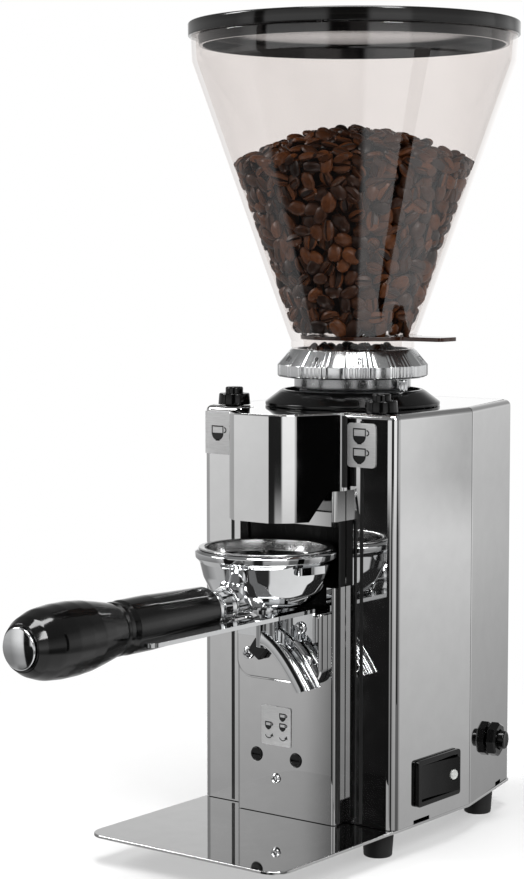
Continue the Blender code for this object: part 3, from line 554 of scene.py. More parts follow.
def swept(path, profile):
    """Runs a closed (depth, z) profile along a plan path; depth counts to the path's left."""
    bm = bmesh.new()
    rows = []
    last = len(path) - 1
    for k, point in enumerate(path):
        normals = []
        for a, b in ((k - 1, k), (k, k + 1)):
            if 0 <= a and b <= last:
                along = (Vector(path[b]) - Vector(path[a])).normalized()
                normals.append(Vector((-along.y, along.x)))
        mitre = sum(normals, Vector((0.0, 0.0))).normalized()
        side = mitre / max(mitre.dot(normals[0]), 0.3)
        rows.append([bm.verts.new((*(Vector(point) + side * d), z)) for d, z in profile])
    for a, b in zip(rows, rows[1:]):
        for k in range(len(profile)):
            j = (k + 1) % len(profile)
            bm.faces.new((a[k], a[j], b[j], b[k]))
    bm.faces.new(rows[0])
    bm.faces.new(rows[-1][::-1])
    return bm


def lofted(rows):
    """A solid through closed rings of points with the same count."""
    bm = bmesh.new()
    rings = [[bm.verts.new(p) for p in row] for row in rows]
    for a, b in zip(rings, rings[1:]):
        for k in range(len(a)):
            j = (k + 1) % len(a)
            bm.faces.new((a[k], a[j], b[j], b[k]))
    bm.faces.new(rings[0][::-1])
    bm.faces.new(rings[-1])
    return bm


def moved(bm, at=(0.0, 0.0, 0.0), turn=(0.0, 0.0, 0.0)):
    """Turns a shape about X, Y, Z in degrees, then moves it."""
    spin = Matrix.LocRotScale(Vector(at), None, None)
    for axis, angle in zip("ZYX", turn[::-1]):
        spin = spin @ Matrix.Rotation(radians(angle), 4, axis)
    bm.transform(spin)
    return bm


def mirrored(bm):
    bmesh.ops.scale(bm, vec=(-1, 1, 1), verts=bm.verts)
    return bm


def temporary(bm):
    bmesh.ops.recalc_face_normals(bm, faces=bm.faces)
    mesh = bpy.data.meshes.new("temporary")
    bm.to_mesh(mesh)
    bm.free()
    obj = bpy.data.objects.new("temporary", mesh)
    bpy.context.scene.collection.objects.link(obj)
    return obj


def carve(bm, *tools, how="DIFFERENCE"):
    """Cuts shapes from a shape (or adds them to it) and gives the result."""
    base = temporary(bm)
    others = [temporary(t) for t in tools]
    for other in others:
        mod = base.modifiers.new("carve", "BOOLEAN")
        mod.operation, mod.solver, mod.object = how, "EXACT", other
    bpy.context.view_layer.update()
    result = bmesh.new()
    evaluated = base.evaluated_get(bpy.context.evaluated_depsgraph_get())
    result.from_mesh(evaluated.data)
    for obj in [base, *others]:
        mesh = obj.data
        bpy.data.objects.remove(obj)
        bpy.data.meshes.remove(mesh)
    return result


def joined(*shapes):
    """Several separate shapes as one."""
    mesh = bpy.data.meshes.new("joined")
    whole = bmesh.new()
    for shape in shapes:
        shape.to_mesh(mesh)
        whole.from_mesh(mesh)
        shape.free()
    bpy.data.meshes.remove(mesh)
    return whole


def piece(name, bm, finish, body, replaces=(), edge=0.0, at=(0.0, 0.0, 0.0),
          turn=(0.0, 0.0, 0.0), flats=False, segments=3):
    """Puts a shape in place as a piece: its finish, the body it rides on and the nodes it stands for."""
    moved(bm, at, turn)
    bm.transform(Matrix.Translation(ORIGIN) @ Matrix.Scale(MM, 4))
    bmesh.ops.recalc_face_normals(bm, faces=bm.faces)
    mesh = bpy.data.meshes.new(name)
    bm.to_mesh(mesh)
    bm.free()
    mesh.shade_smooth()
    mesh.set_sharp_from_angle(angle=SHARP)
    mesh.materials.append(finish)
    obj = bpy.data.objects.new(name, mesh)
    bpy.context.scene.collection.objects.link(obj)
    if edge:
        mod = obj.modifiers.new("edge", "BEVEL")
        mod.width, mod.segments, mod.limit_method = edge * MM, segments, "ANGLE"
        mod.angle_limit, mod.harden_normals = SHARP, True
        for polygon_edge in mesh.edges:
            polygon_edge.use_edge_sharp = False
    if flats:
        weigh = obj.modifiers.new("flats", "WEIGHTED_NORMAL")
        weigh.keep_sharp = True
        weigh.weight = 100
    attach(obj, body)
    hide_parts(*replaces)
    return obj


def dress(finish, *nodes):
    """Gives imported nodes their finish."""
    for name in nodes:
        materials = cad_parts[name].data.materials
        materials.clear()
        materials.append(finish)


HERE = (0.0, AXIS_Y, 0.0)


# --- casing --------------------------------------------------------------------------------------
SHEET, TOP_BEND, BODY_CORNER = 1.2, 3.0, 5.0
# The second number is the width of the black strips of painted shade in the seams beside the column.
SEAM_X, SEAM_SHADE_WIDTH = 38.8, 1.9
# Width of the black strip of painted shade along the column's right edge and the hood's flank.
EDGE_SHADE_WIDTH = 1.5


def casing_profile():
    """Section of a casing sheet: straight wall, rounded top bend, narrow flange inward."""
    bend = arc(TOP_BEND, BODY_TOP - TOP_BEND, TOP_BEND, 180, 90, 8)
    inner = arc(TOP_BEND, BODY_TOP - TOP_BEND, TOP_BEND - SHEET, 90, 180, 5)
    flange = TOP_BEND + 0.2
    return ([(0, GAP)] + bend + [(flange, BODY_TOP), (flange, BODY_TOP - SHEET)]
            + inner + [(SHEET, GAP)])


def taper_x(y):
    """Outer face of the tapered side at y."""
    return BODY_HALF - (y - BEND_Y) * (BODY_HALF - REAR_HALF) / (REAR_Y - BEND_Y)


SWITCH_LOW, SWITCH_HIGH = in_frame("switch_bezel")
SWITCH_AT = Vector((0.0, (SWITCH_LOW.y + SWITCH_HIGH.y) / 2, (SWITCH_LOW.z + SWITCH_HIGH.z) / 2))
SWITCH_L, SWITCH_H = SWITCH_HIGH.y - SWITCH_LOW.y, SWITCH_HIGH.z - SWITCH_LOW.z
FUSE_TURN = degrees(atan2(BODY_HALF - REAR_HALF, REAR_Y - BEND_Y))
FUSE_AT = (taper_x(99.0), 99.0, 27.5)
BUTTONS = {"single": -47.5, "double": 43.5}
BUTTON_Y = 11.0
TRIMMERS = {"single": -17.5, "double": 6.9}
TRIMMER_Z = 29.5


def side_panel(side):
    """Front strip, rounded corner and side in one bent sheet."""
    corner = arc(BODY_HALF - BODY_CORNER, BODY_CORNER, BODY_CORNER, -90, 0, 12)
    path = [(COLUMN_HALF + GAP, 0.0)] + corner + [(BODY_HALF, SEAM_Y - GAP)]
    panel = swept(path, casing_profile())
    tools = [moved(block(-3, 3, -7, 7, -1, 2.2), (BODY_HALF, 24.0, 0))]
    if side > 0:
        half_l, half_h = SWITCH_L / 2 - 1.6, SWITCH_H / 2 - 1.1
        tools.append(moved(block(-3, 3, -half_l, half_l, -half_h, half_h), (BODY_HALF, *SWITCH_AT.yz)))
    else:
        mirrored(panel)
        mirrored(tools[0])
    return carve(panel, *tools)


def rear_cover():
    """Tapered sides and back of the casing, with louvres, the fuse hole and the cable hole."""
    r = 6.0
    angle = degrees(atan2(REAR_Y - BEND_Y, REAR_HALF - BODY_HALF)) - 90
    corner = arc(REAR_HALF - r, REAR_Y - r, r, angle, 90, 10)
    right = [(BODY_HALF, SEAM_Y), (BODY_HALF, BEND_Y)] + corner
    path = right + [(-x, y) for x, y in right[::-1]]
    tools = []
    for k in range(5):
        slot = prism(rounded_box(22, 1.6, 1.5), -4, 4)
        tools.append(moved(slot, (0, REAR_Y, 60 + 9 * k), (90, 0, 0)))
    tools.append(moved(disc(7.3, -6, 6), (0, REAR_Y, 24.0), (90, 0, 0)))
    tools.append(moved(disc(6.3, -8, 8), FUSE_AT, (0, 90, FUSE_TURN)))
    for side in (-1, 1):
        tools.append(moved(block(-4, 4, -4, 4, -1, 2.2), (side * taper_x(112.0), 112.0, 0)))
    return carve(swept(path, casing_profile()), *tools)


def top_cover():
    """Flat lid between the bent edges, with a tongue over the hood."""
    inset = TOP_BEND + 0.2 + GAP
    half = [(8.9, HOOD_FRONT + inset, 1.0), (17.5, -24.8, 1.0), (COLUMN_HALF - 2.6, COLUMN_FRONT + 2, 1.0),
            (COLUMN_HALF - 2.6, inset, 0.5), (BODY_HALF - inset, inset, 2.0),
            (BODY_HALF - inset, BEND_Y, 0), (REAR_HALF - inset - 1.5, REAR_Y - inset, 2.0)]
    outline = rounded(half + [(-x, y, r) for x, y, r in half[::-1]])
    holes = [moved(disc(35.0, -3, 3, sides=96), (0, AXIS_Y, BODY_TOP))]
    holes += [moved(disc(3.0, -3, 3), (x, BUTTON_Y, BODY_TOP)) for x in BUTTONS.values()]
    return carve(prism(outline, BODY_TOP - SHEET, BODY_TOP), *holes)


def cup_clearance():
    """Space round the docked cup."""
    return turned([(0, 105.5), (29.5, 105.5), (29.5, 117.5), (35.6, 117.5), (35.6, 147.5), (0, 147.5)], 128)


def front_column():
    """Folded channel that carries the bracket, hood and timer board."""
    r = 2.0
    right = arc(COLUMN_HALF - r, COLUMN_FRONT + r, r, -90, 0, 8) + [(COLUMN_HALF, 8.0)]
    path = [(-x, y) for x, y in right[::-1]] + right
    top = BODY_TOP - SHEET - GAP
    column = swept(path, [(0, GAP), (0, top), (1.5, top), (1.5, GAP)])
    tools = [block(-14.5, 14.5, COLUMN_FRONT - 4, COLUMN_FRONT + 4, 158, 192),
             moved(cup_clearance(), (0, CUP_Y, 0)),
             moved(disc(1.3, -3, 3), (-5.3, COLUMN_FRONT, 18.8), (90, 0, 0))]
    for x in TRIMMERS.values():
        tools.append(moved(disc(3.7, -3, 3), (x, COLUMN_FRONT, TRIMMER_Z), (90, 0, 0)))
    return carve(column, *tools)


def seam_seal(side):
    """Painted shade: a thin black strip in the seam between the column's flange and a front strip, standing
    in for the shadowed gap.
    """
    seal = block(SEAM_X, SEAM_X + SEAM_SHADE_WIDTH, -0.15, 0.0, 1.0, BODY_TOP - TOP_BEND - 0.5)
    return seal if side > 0 else mirrored(seal)


def edge_trim():
    """Painted shade: a black strip along the column's right edge and up the hood's flank, standing in for the
    dark groove there.
    """
    hood_side = COLUMN_HALF + GAP + SHEET
    low = block(COLUMN_HALF - 0.2, COLUMN_HALF + EDGE_SHADE_WIDTH, COLUMN_FRONT + 1.4, COLUMN_FRONT + 2.9, 1.0, 149.5)
    high = block(hood_side - 0.4, hood_side + EDGE_SHADE_WIDTH, -4.6, -3.1, 166.5, BODY_TOP - 1.2)
    return joined(carve(low, moved(cup_clearance(), (0, CUP_Y, 0))), high)


def niche_edge(side):
    """Painted shade: a black lip over the cut edge of the column beside the cup, standing in for the shade
    under the hood.
    """
    lip = block(COLUMN_HALF - 2.2, COLUMN_HALF + 0.15, -9.0, -0.4, 117.6, 149.8)
    room = moved(disc(35.45, 110, 147.45, sides=128), (0, CUP_Y, 0))
    lip = carve(lip, room)
    return lip if side > 0 else mirrored(lip)


def base_plate():
    """Tray in front and floor of the casing in one polished plate."""
    tray_half = BODY_HALF - 1
    half = [(tray_half, TRAY_FRONT, 10.0), (tray_half, -1.0, 0), (BODY_HALF - 0.5, 4.0, 0),
            (BODY_HALF - 0.5, BEND_Y, 0), (REAR_HALF - 0.5, REAR_Y - 1, 3.0)]
    outline = rounded(half + [(-x, y, r) for x, y, r in half[::-1]], 12)
    return prism(outline, -1.5, 0.0)


class GRINDER_OT_casing(bpy.types.Operator):
    """Builds the polished casing: base and tray, side panels, rear cover, top cover and column"""
    bl_idname = "grinder.casing"
    bl_label = "Casing"

    def execute(self, context):
        steel = polished_stainless()
        for name, side in (("left", -1), ("right", 1)):
            piece(f"{name}_panel", side_panel(side), steel, "machine",
                  [f"{name}_side_panel"], flats=True)
        piece("back_cover", rear_cover(), steel, "machine", ["rear_cover"], flats=True)
        piece("top_plate", top_cover(), steel, "machine", ["top_cover"], edge=0.15, flats=True)
        piece("tray_plate", base_plate(), steel, "machine", ["base_plate"], edge=0.35, flats=True)
        piece("column", front_column(), steel, "machine", ["front_column"], flats=True)
        for name, side in (("left", -1), ("right", 1)):
            # Painted shade: black strips in the seams stand in for the shadowed gaps.
            piece(f"seam_seal_{name}", seam_seal(side), black_rubber(), "machine", edge=0.05)
            # Painted shade: black lips beside the cup darken the column where shade falls under the hood.
            piece(f"niche_edge_{name}", niche_edge(side), black_abs_satin(), "machine")
        # Painted shade: a black strip down the column's right edge stands in for the dark groove.
        piece("edge_trim", edge_trim(), black_rubber(), "machine", edge=0.1)
        return {"FINISHED"}


# --- outlet hood, fork bracket and fork ----------------------------------------------------------
def outlet_hood():
    """Folded cover over the outlet: flat nose, softly bowed shoulders, slanted cheeks, open below."""
    side = COLUMN_HALF + GAP + SHEET
    nose = bulged((10.5, HOOD_FRONT), (20.5, -27.0), 25, 10)
    right = nose + [(side - 0.6, -6.0), (side, -1.5)]
    path = [(-x, y) for x, y in right[::-1]] + right
    low, rear_low = 150.5, 164.7
    profile = [(0, low), (0, BODY_TOP - 0.8), (0.25, BODY_TOP - 0.25), (0.8, BODY_TOP), (SHEET, BODY_TOP),
               (SHEET, low)]
    wedge = prism([(-21.0, low - 2), (-21.0, low), (-11.5, rear_low), (5.0, rear_low), (5.0, low - 2)],
                  -40, 40)
    wedge.transform(Matrix(((0, 0, 1, 0), (1, 0, 0, 0), (0, 1, 0, 0), (0, 0, 0, 1))))
    return carve(swept(path, profile), wedge)


def fork_bracket():
    """Shallow pressed tray on the column with rounded lower corners."""
    half, low, high, front = 26.0, 69.0, 105.2, -15.0
    depth = COLUMN_FRONT - GAP - front
    at = (0, COLUMN_FRONT - GAP, 0)

    def outline(inset):
        r = 9.0 - inset
        return rounded([(half - inset, high - inset, 1.0), (-half + inset, high - inset, 1.0),
                        (-half + inset, low + inset, r), (half - inset, low + inset, r)], 8)
    rim = 1.6
    rows = [(0.0, 0.0), (0.0, depth - rim)]
    rows += [(rim - rim * cos(a), depth - rim + rim * sin(a)) for a in (pi / 8, pi / 4, 3 * pi / 8, pi / 2)]
    shell = lofted([[(x, y, z) for x, y in outline(inset)] for inset, z in rows])
    hollow = prism(outline(1.5), -1, depth - 1.5)
    return moved(carve(shell, hollow), at, (90, 0, 0))


def portafilter_fork():
    """Two flat prongs with a web between them and a flange down the bracket."""
    inner, outer, top, thick, tip = 13.5, 23.0, 107.7, 2.0, -136.0
    back = -15.0 - GAP
    mid = (outer + inner) / 2
    right = [(mid + x, tip + 4.75 + y) for x, y in arc(0, 0, 4.75, 180, 360, 14)]
    outline = right + [(outer, back), (-outer, back)] + [(-x, y) for x, y in right[::-1]]
    outline += [(-inner, back - thick), (inner, back - thick)]
    flange = block(-outer, outer, back - thick, back, 91.0, top - 0.5)
    return carve(prism(outline, top - thick, top), flange, how="UNION")


def outlet_chute():
    """Square tube through the column, open downward under the hood."""
    at = (0, -25.5, 174.5)
    return moved(carve(block(-13, 13, 0, 31, -9, 9), block(-11, 11, 1.6, 40, -7.4, 7.4),
                       block(-11, 11, 1.6, 12, -12, 2)), at)


class GRINDER_OT_outlet(bpy.types.Operator):
    """Builds the hood, the chute, the bracket and the fork that the filter holder rests on"""
    bl_idname = "grinder.outlet"
    bl_label = "Outlet and fork"

    def execute(self, context):
        steel = polished_stainless()
        piece("hood", outlet_hood(), steel, "machine", ["outlet_hood"], flats=True)
        piece("chute", outlet_chute(), black_abs_satin(), "machine", ["outlet_chute"],
              edge=0.3)
        piece("bracket", fork_bracket(), steel, "machine", ["fork_bracket"], flats=True)
        piece("fork", portafilter_fork(), chrome_plate(), "machine", ["portafilter_fork"],
              edge=0.35, flats=True)
        stop = prism(rounded_box(4.2, 4.2, 1.0), GAP, 4.2)
        piece("rubber_stop", stop, black_rubber(), "machine", ["bump_stop"],
              edge=0.5, at=(-9.5, -15.0, 85.0), turn=(90, 35, 0))
        dress(black_abs_satin(), "cup_niche")
        return {"FINISHED"}


# --- labels and screws ---------------------------------------------------------------------------
def flat_icon(outline):
    """A printed shape as a thin slab of ink."""
    return prism(outline, 0, 0.06)


def mug(x, z, s):
    """A printed cup seen from the side, s millimetres wide, half full, its handle on the right."""
    w, h, t = s / 2, 1.02 * s, sizes().icon_line / MM
    level = 0.52 * h
    bowl = [(w * cos(a), level + level * 0.94 * sin(a)) for a in np.linspace(0, -pi, 19).tolist()]
    outline = [(w, h), (w, level)] + bowl[1:-1] + [(-w, level), (-w, h)]
    inside = block(-w + t, w - t, level, h - t, -1, 1)
    grip = (w + 0.06 * s, 0.72 * h)
    ring = arc(*grip, 0.2 * s, -95, 95, 12) + arc(*grip, 0.2 * s - t, 95, -95, 12)
    foot = [(-0.34 * w, 0.0), (0.34 * w, 0.0), (0.3 * w, 0.1 * h), (-0.3 * w, 0.1 * h)]
    return moved(joined(carve(flat_icon(outline), inside), flat_icon(ring), flat_icon(foot)), (x, z, 0))


def turning_arrow(x, z, r):
    """A printed arc with an arrow head, drawn under the cups."""
    t = sizes().icon_line / MM * 0.8
    band = arc(0, 0, r, 200, 340, 12) + arc(0, 0, r - t, 340, 200, 12)
    end = Vector((r * cos(radians(340)), r * sin(radians(340))))
    head = [(end.x - 1.3, end.y - 0.2), (end.x + 0.7, end.y - 0.5), (end.x + 0.2, end.y + 1.2)]
    return moved(joined(flat_icon(band), flat_icon(head)), (x, z, 0))


def label_skin(half_w, half_h, r):
    return prism(rounded_box(half_w, half_h, r), 0, 0.3)


class GRINDER_OT_labels(bpy.types.Operator):
    """Builds the silver labels with their printed cups"""
    bl_idname = "grinder.labels"
    bl_label = "Labels"

    def execute(self, context):
        foil, ink = silver_foil(), printed_ink()
        skin = [(-GAP - 0.3, 0), (-GAP - 0.3, 21.5), (-GAP, 21.5), (-GAP, 0)]
        bend = arc(-(BODY_HALF - BODY_CORNER), BODY_CORNER, BODY_CORNER, 210, 270, 10)
        single = swept(bend + [(-40.8, 0.0)], skin)
        piece("single_label", single, foil, "machine", ["single_dose_label"],
              at=(0, 0, 177.8))
        piece("double_label", label_skin(8.4, 10.75, 2.2), foil, "machine",
              ["double_dose_label"], at=(39.6, -GAP, 176.3 + 10.75), turn=(90, 0, 0), edge=0.06)
        piece("lower_label", label_skin(9.05, 9.85, 0.8), foil, "machine", ["timer_label"],
              at=(-5.05, COLUMN_FRONT - GAP, 35.4 + 9.85), turn=(90, 0, 0), edge=0.06)
        up, front = (90, 0, 0), -GAP - 0.3
        piece("single_cup_print", mug(-49.2, 184.6, 7.6), ink, "machine",
              at=(0, front, 0), turn=up)
        pair = joined(mug(38.6, 187.6, 7.6), mug(38.6, 178.0, 7.6))
        piece("double_cup_print", pair, ink, "machine", at=(0, front, 0), turn=up)
        low = joined(mug(-9.8, 43.0, 4.0), mug(-1.0, 48.0, 4.0), mug(-1.0, 43.0, 4.0),
                     turning_arrow(-9.6, 41.0, 2.4), turning_arrow(-0.8, 40.6, 2.4))
        piece("lower_cup_print", low, ink, "machine",
              at=(0, COLUMN_FRONT + front, 0), turn=up)
        return {"FINISHED"}


def screw(x, y, z, head, tilt):
    """Domed cross-head screw pointing into the machine."""
    dome = [(head * cos(radians(a)) ** 0.7, GAP + 0.2 + 1.5 * sin(radians(a))) for a in (0, 20, 40, 60, 75)]
    shape = turned([(0, GAP), (head, GAP), *dome, (0, GAP + 1.7)], 48)
    cross = [moved(block(-head * 0.55, head * 0.55, -0.35, 0.35, 0.8, 4), turn=(0, 0, tilt + 90 * k))
             for k in range(2)]
    return moved(carve(shape, *cross), (x, y, z), (90, 0, 0))


class GRINDER_OT_screws(bpy.types.Operator):
    """Builds the cross-head screws of column, bracket and fork"""
    bl_idname = "grinder.screws"
    bl_label = "Screws"

    def execute(self, context):
        places = [("column_screw", -5.3, COLUMN_FRONT, 18.8, 2.4)]
        for name, side in (("left", -1), ("right", 1)):
            places.append((f"bracket_screw_{name}", side * 18.0, -15.0, 81.6, 3.1))
            places.append((f"fork_screw_{name}", side * 16.0, -15.0 - GAP - 2.0, 98.0, 3.1))
        for count, (name, x, y, z, head) in enumerate(places):
            piece(f"{name}_head", screw(x, y, z, head, 17 + 31 * count), chrome_plate(), "machine",
                  [name], edge=0.08, segments=2)
        return {"FINISHED"}


# --- hopper, gate, lid and beans -----------------------------------------------------------------
CONE_LOW_R, CONE_LOW_Z = 31.7, 235.0
CONE_SLOPE = (81.5 - CONE_LOW_R) / (375.0 - CONE_LOW_Z)
THROAT_R = 24.6


def cone_r(z):
    """Outer radius of the hopper's cone at height z."""
    return CONE_LOW_R + CONE_SLOPE * (z - CONE_LOW_Z)


def hopper():
    """Clear cone with its skirt, shelf and spigot, slotted for the gate."""
    wall = sizes().hopper_wall / MM
    loop = [(25, 214, 0.6), (27.5, 214, 0.6), (27.5, 231.6, 0.5), (31.5, 231.6, 0.6), (31.5, 235, 0.4),
            (cone_r(240.0), 240.0, 0), (cone_r(375), 375, 6.0), (82.1, 387.2, 0.5), (82.1 - wall, 387.2, 0.5),
            (81.5 - wall, 376, 6.0), (cone_r(240) - wall, 240, 1.5), (25, 239, 0.6)]
    reach = 26.8
    slot = [(40, reach), (0, reach)] + arc(0, 0, reach, 90, 270, 24)[1:-1] + [(0, -reach), (40, -reach)]
    return carve(turned(rounded(loop, 3), 160), prism(slot, 235.7, 238.3))


def hopper_gate():
    """Sliding shut-off plate with a narrower finger tab."""
    r, tab = 26.5, 58.5
    disc_part = [(x, y, 0) for x, y in arc(0, 0, r, 90, 270, 32)]
    tail = [(20, -r, 1.0), (33, -14, 2.0), (36, -8, 3.0), (tab, -8, 3.0), (tab, 8, 3.0), (36, 8, 3.0),
            (33, 14, 2.0), (20, r, 1.0)]
    return prism(rounded(disc_part + tail), 236.0, 238.0)


def hopper_lid():
    """Shallow lid: rim band, sunk crown with a low ring and a plug ring that centres it."""
    r, low, top = LID_R, LID_TOP - 6.9, LID_TOP
    loop = [(0, low + 1.1, 0), (76, low + 1.1, 0.4), (76, 383, 0.4), (78, 383, 0.4), (78.6, low, 0.3),
            (r - 0.1, low, 0.5), (r, top - 0.1, 1.1), (r - 6, top, 0.9), (r - 9, top - 2.0, 1.2),
            (24, top - 2.0, 0.6), (22.8, top - 1.4, 0.4), (20, top - 1.4, 0.4), (18.8, top - 2.0, 0.6),
            (0, top - 2.0, 0)]
    return turned(rounded(loop, 4), 160)


def bean_shape():
    """Points and faces of one roasted bean: plump back, flat face with a deep crease, blunt ends."""
    half = [s / 2 / MM for s in (sizes().bean_length, sizes().bean_width, sizes().bean_thickness)]
    section = [(cos(radians(a)), sin(radians(a))) for a in range(0, 181, 30)]
    section += [(-0.78, -0.42), (-0.2, -0.58), (0.0, -0.16), (0.2, -0.58), (0.78, -0.42)]
    points = [(-half[0], 0.0, 0.0)]
    for k in range(1, 8):
        a = pi * k / 8
        s = sin(a) ** 0.8
        points += [(-half[0] * cos(a), half[1] * y * s, half[2] * z * s) for y, z in section]
    points.append((half[0], 0.0, 0.0))
    n, faces = len(section), []
    for k in range(n):
        j = (k + 1) % n
        faces.append((0, 1 + j, 1 + k))
        last = len(points) - 1
        faces.append((last, last - n + k, last - n + j))
        for row in range(6):
            a = 1 + row * n
            faces.append((a + k, a + j, a + n + j, a + n + k))
    return np.array(points), faces


def heap_z(r):
    """Height of the heap's surface at radius r."""
    return float(np.interp(r, (0, 24, 45, 63), (343.0, 340.0, 332.0, 324.0)))


def bean_places(draw):
    """Centre, outward direction and swing of each bean: two layers on the wall, two on the heap."""
    places = []
    rise = CONE_SLOPE / hypot(1, CONE_SLOPE)
    outward = hypot(1, rise)
    for depth, pitch in ((2.9, 7.0), (8.6, 8.0)):
        z = 242.3
        while z < 326.5 - depth * 0.4:
            r = cone_r(z) - sizes().hopper_wall / MM - depth
            count = max(6, int(2 * pi * r / 7.9))
            offset = draw.random()
            for k in range(count):
                a = 2 * pi * (k + offset + draw.uniform(-0.25, 0.25)) / count
                zz = z + draw.uniform(-1.8, 1.8)
                deep = draw.uniform(-0.4, 1.4)
                rr = cone_r(zz) - sizes().hopper_wall / MM - depth - deep
                places.append((Vector((rr * cos(a), rr * sin(a), zz)),
                               Vector((cos(a), sin(a), -CONE_SLOPE)) / outward))
            z += pitch * 0.86
    for depth in (2.0, 7.0):
        r = 2.0
        while r < 61 - depth:
            count = max(1, int(2 * pi * r / 8.2))
            offset = draw.random()
            for k in range(count):
                a = 2 * pi * (k + offset + draw.uniform(-0.2, 0.2)) / count
                rr = max(0.0, r + draw.uniform(-1.5, 1.5))
                z = heap_z(rr) - depth + draw.uniform(-1.2, 1.2)
                places.append((Vector((rr * cos(a), rr * sin(a), z)),
                               Vector((0.25 * cos(a), 0.25 * sin(a), 1))))
            r += 7.0
    return places


def coffee_beans(draw, places, limit_at):
    """Every bean laid at random over its place, none through the wall at radius limit_at(height)."""
    points, faces = bean_shape()
    all_points, all_faces = [], []
    for centre, out in places:
        lean = Vector([draw.gauss(0, 1) for _ in range(3)]).normalized()
        up = (out.normalized() + 0.55 * lean).normalized()
        if draw.random() < 0.45:
            up = -up
        side = Vector([draw.gauss(0, 1) for _ in range(3)])
        side = (side - side.dot(up) * up).normalized()
        axes = np.array((side, up.cross(side), up))
        size = draw.uniform(0.88, 1.1)
        cloud = size * points @ axes + np.array(centre)
        limit = limit_at(cloud[:, 2])
        reach = np.maximum(np.hypot(cloud[:, 0], cloud[:, 1]), 1e-6)
        cloud[:, :2] *= np.minimum(1.0, limit / reach)[:, None]
        first = len(all_points) * len(points)
        all_points.append(cloud)
        all_faces += [tuple(first + k for k in face) for face in faces]
    bm = bmesh.new()
    verts = [bm.verts.new(p) for cloud in all_points for p in cloud.tolist()]
    for face in all_faces:
        bm.faces.new([verts[k] for k in face])
    return bm


def throat_places(draw):
    """Beans left standing in the throat under the closed gate."""
    places = []
    for z in (216.8, 221.2, 225.4, 229.0):
        for r in (8.0, 14.5, 20.6):
            count = int(2 * pi * r / 8.0)
            offset = draw.random()
            for k in range(count):
                a = 2 * pi * (k + offset) / count
                places.append((Vector((r * cos(a), r * sin(a), z + draw.uniform(-0.6, 0.6))),
                               Vector((cos(a), sin(a), 0.1))))
    return places


def bean_core():
    """Dark middle of the heap behind the outer beans."""
    loop = [(0, 241.0)] + [(cone_r(z) - 13.0, z) for z in (241.0, 280.0, 314.0)] + [(44, 320), (0, 332)]
    return turned(loop, 48)


class GRINDER_OT_hopper(bpy.types.Operator):
    """Builds the clear hopper with its gate and lid"""
    bl_idname = "grinder.hopper"
    bl_label = "Hopper"

    def execute(self, context):
        piece("hopper_cone", hopper(), clear_hopper(), "hopper_body", ["hopper"], at=HERE)
        piece("gate_plate", hopper_gate(), amber_acrylic(), "gate", ["hopper_gate"],
              edge=0.3, at=HERE)
        piece("lid", hopper_lid(), lid_abs(), "lid", ["hopper_lid"], at=HERE)
        return {"FINISHED"}


class GRINDER_OT_beans(bpy.types.Operator):
    """Fills the hopper with roasted beans"""
    bl_idname = "grinder.beans"
    bl_label = "Coffee beans"

    def execute(self, context):
        draw, wall = random.Random(58), sizes().hopper_wall / MM
        heap = coffee_beans(draw, bean_places(draw), lambda z: cone_r(z) - wall - 0.25)
        piece("beans", heap, roasted_bean(), "hopper_body", ["coffee_beans"], at=HERE)
        throat = coffee_beans(draw, throat_places(draw), lambda z: np.full_like(z, THROAT_R))
        piece("beans_in_throat", throat, roasted_bean(), "upper_carrier", at=HERE)
        piece("beans_middle", bean_core(), roasted_bean(), "hopper_body", at=HERE)
        return {"FINISHED"}


# --- dial ------------------------------------------------------------------------------------------
LOBE_START, LOBE_HALF, RIDGE_PITCH = -67.3, 6.5, 4.0     # degrees
RIDGE_DEPTH = 0.35
BAND_LOW, BAND_TOP, DIAL_TOP = 217.0, 223.4, 231.2
COLLAR_TOP = 210.5


def dial_grip(r, z, a):
    """Dial band: smooth grips standing proud, fine ridges between them."""
    if r < 37 or z > BAND_TOP + 0.4:
        return r, z
    pitch = 360 / sizes().dial_lobes
    place = (degrees(a) - LOBE_START) % pitch
    place = min(place, pitch - place)
    if place < LOBE_HALF:
        return r - RIDGE_DEPTH * (place / LOBE_HALF) ** 4, z
    ridge = 0.5 + 0.5 * cos(2 * pi * (place - LOBE_HALF) / RIDGE_PITCH)
    return r - 0.75 - RIDGE_DEPTH * ridge, z


def adjusting_dial():
    """Chrome dial: plain cone above, gripping band below."""
    loop = [(28.1, 211.4, 0), (29.8, 211.4, 0.4), (29.8, BAND_LOW, 0.3), (37.6, BAND_LOW, 0.4),
            (DIAL_R, BAND_LOW + 0.8, 0.5), (DIAL_R, BAND_TOP - 0.3, 0.5), (31.8, DIAL_TOP - 0.6, 0.4),
            (31.2, DIAL_TOP, 0.3), (28.1, DIAL_TOP, 0)]
    return turned(rounded(loop, 3), 720, dial_grip)


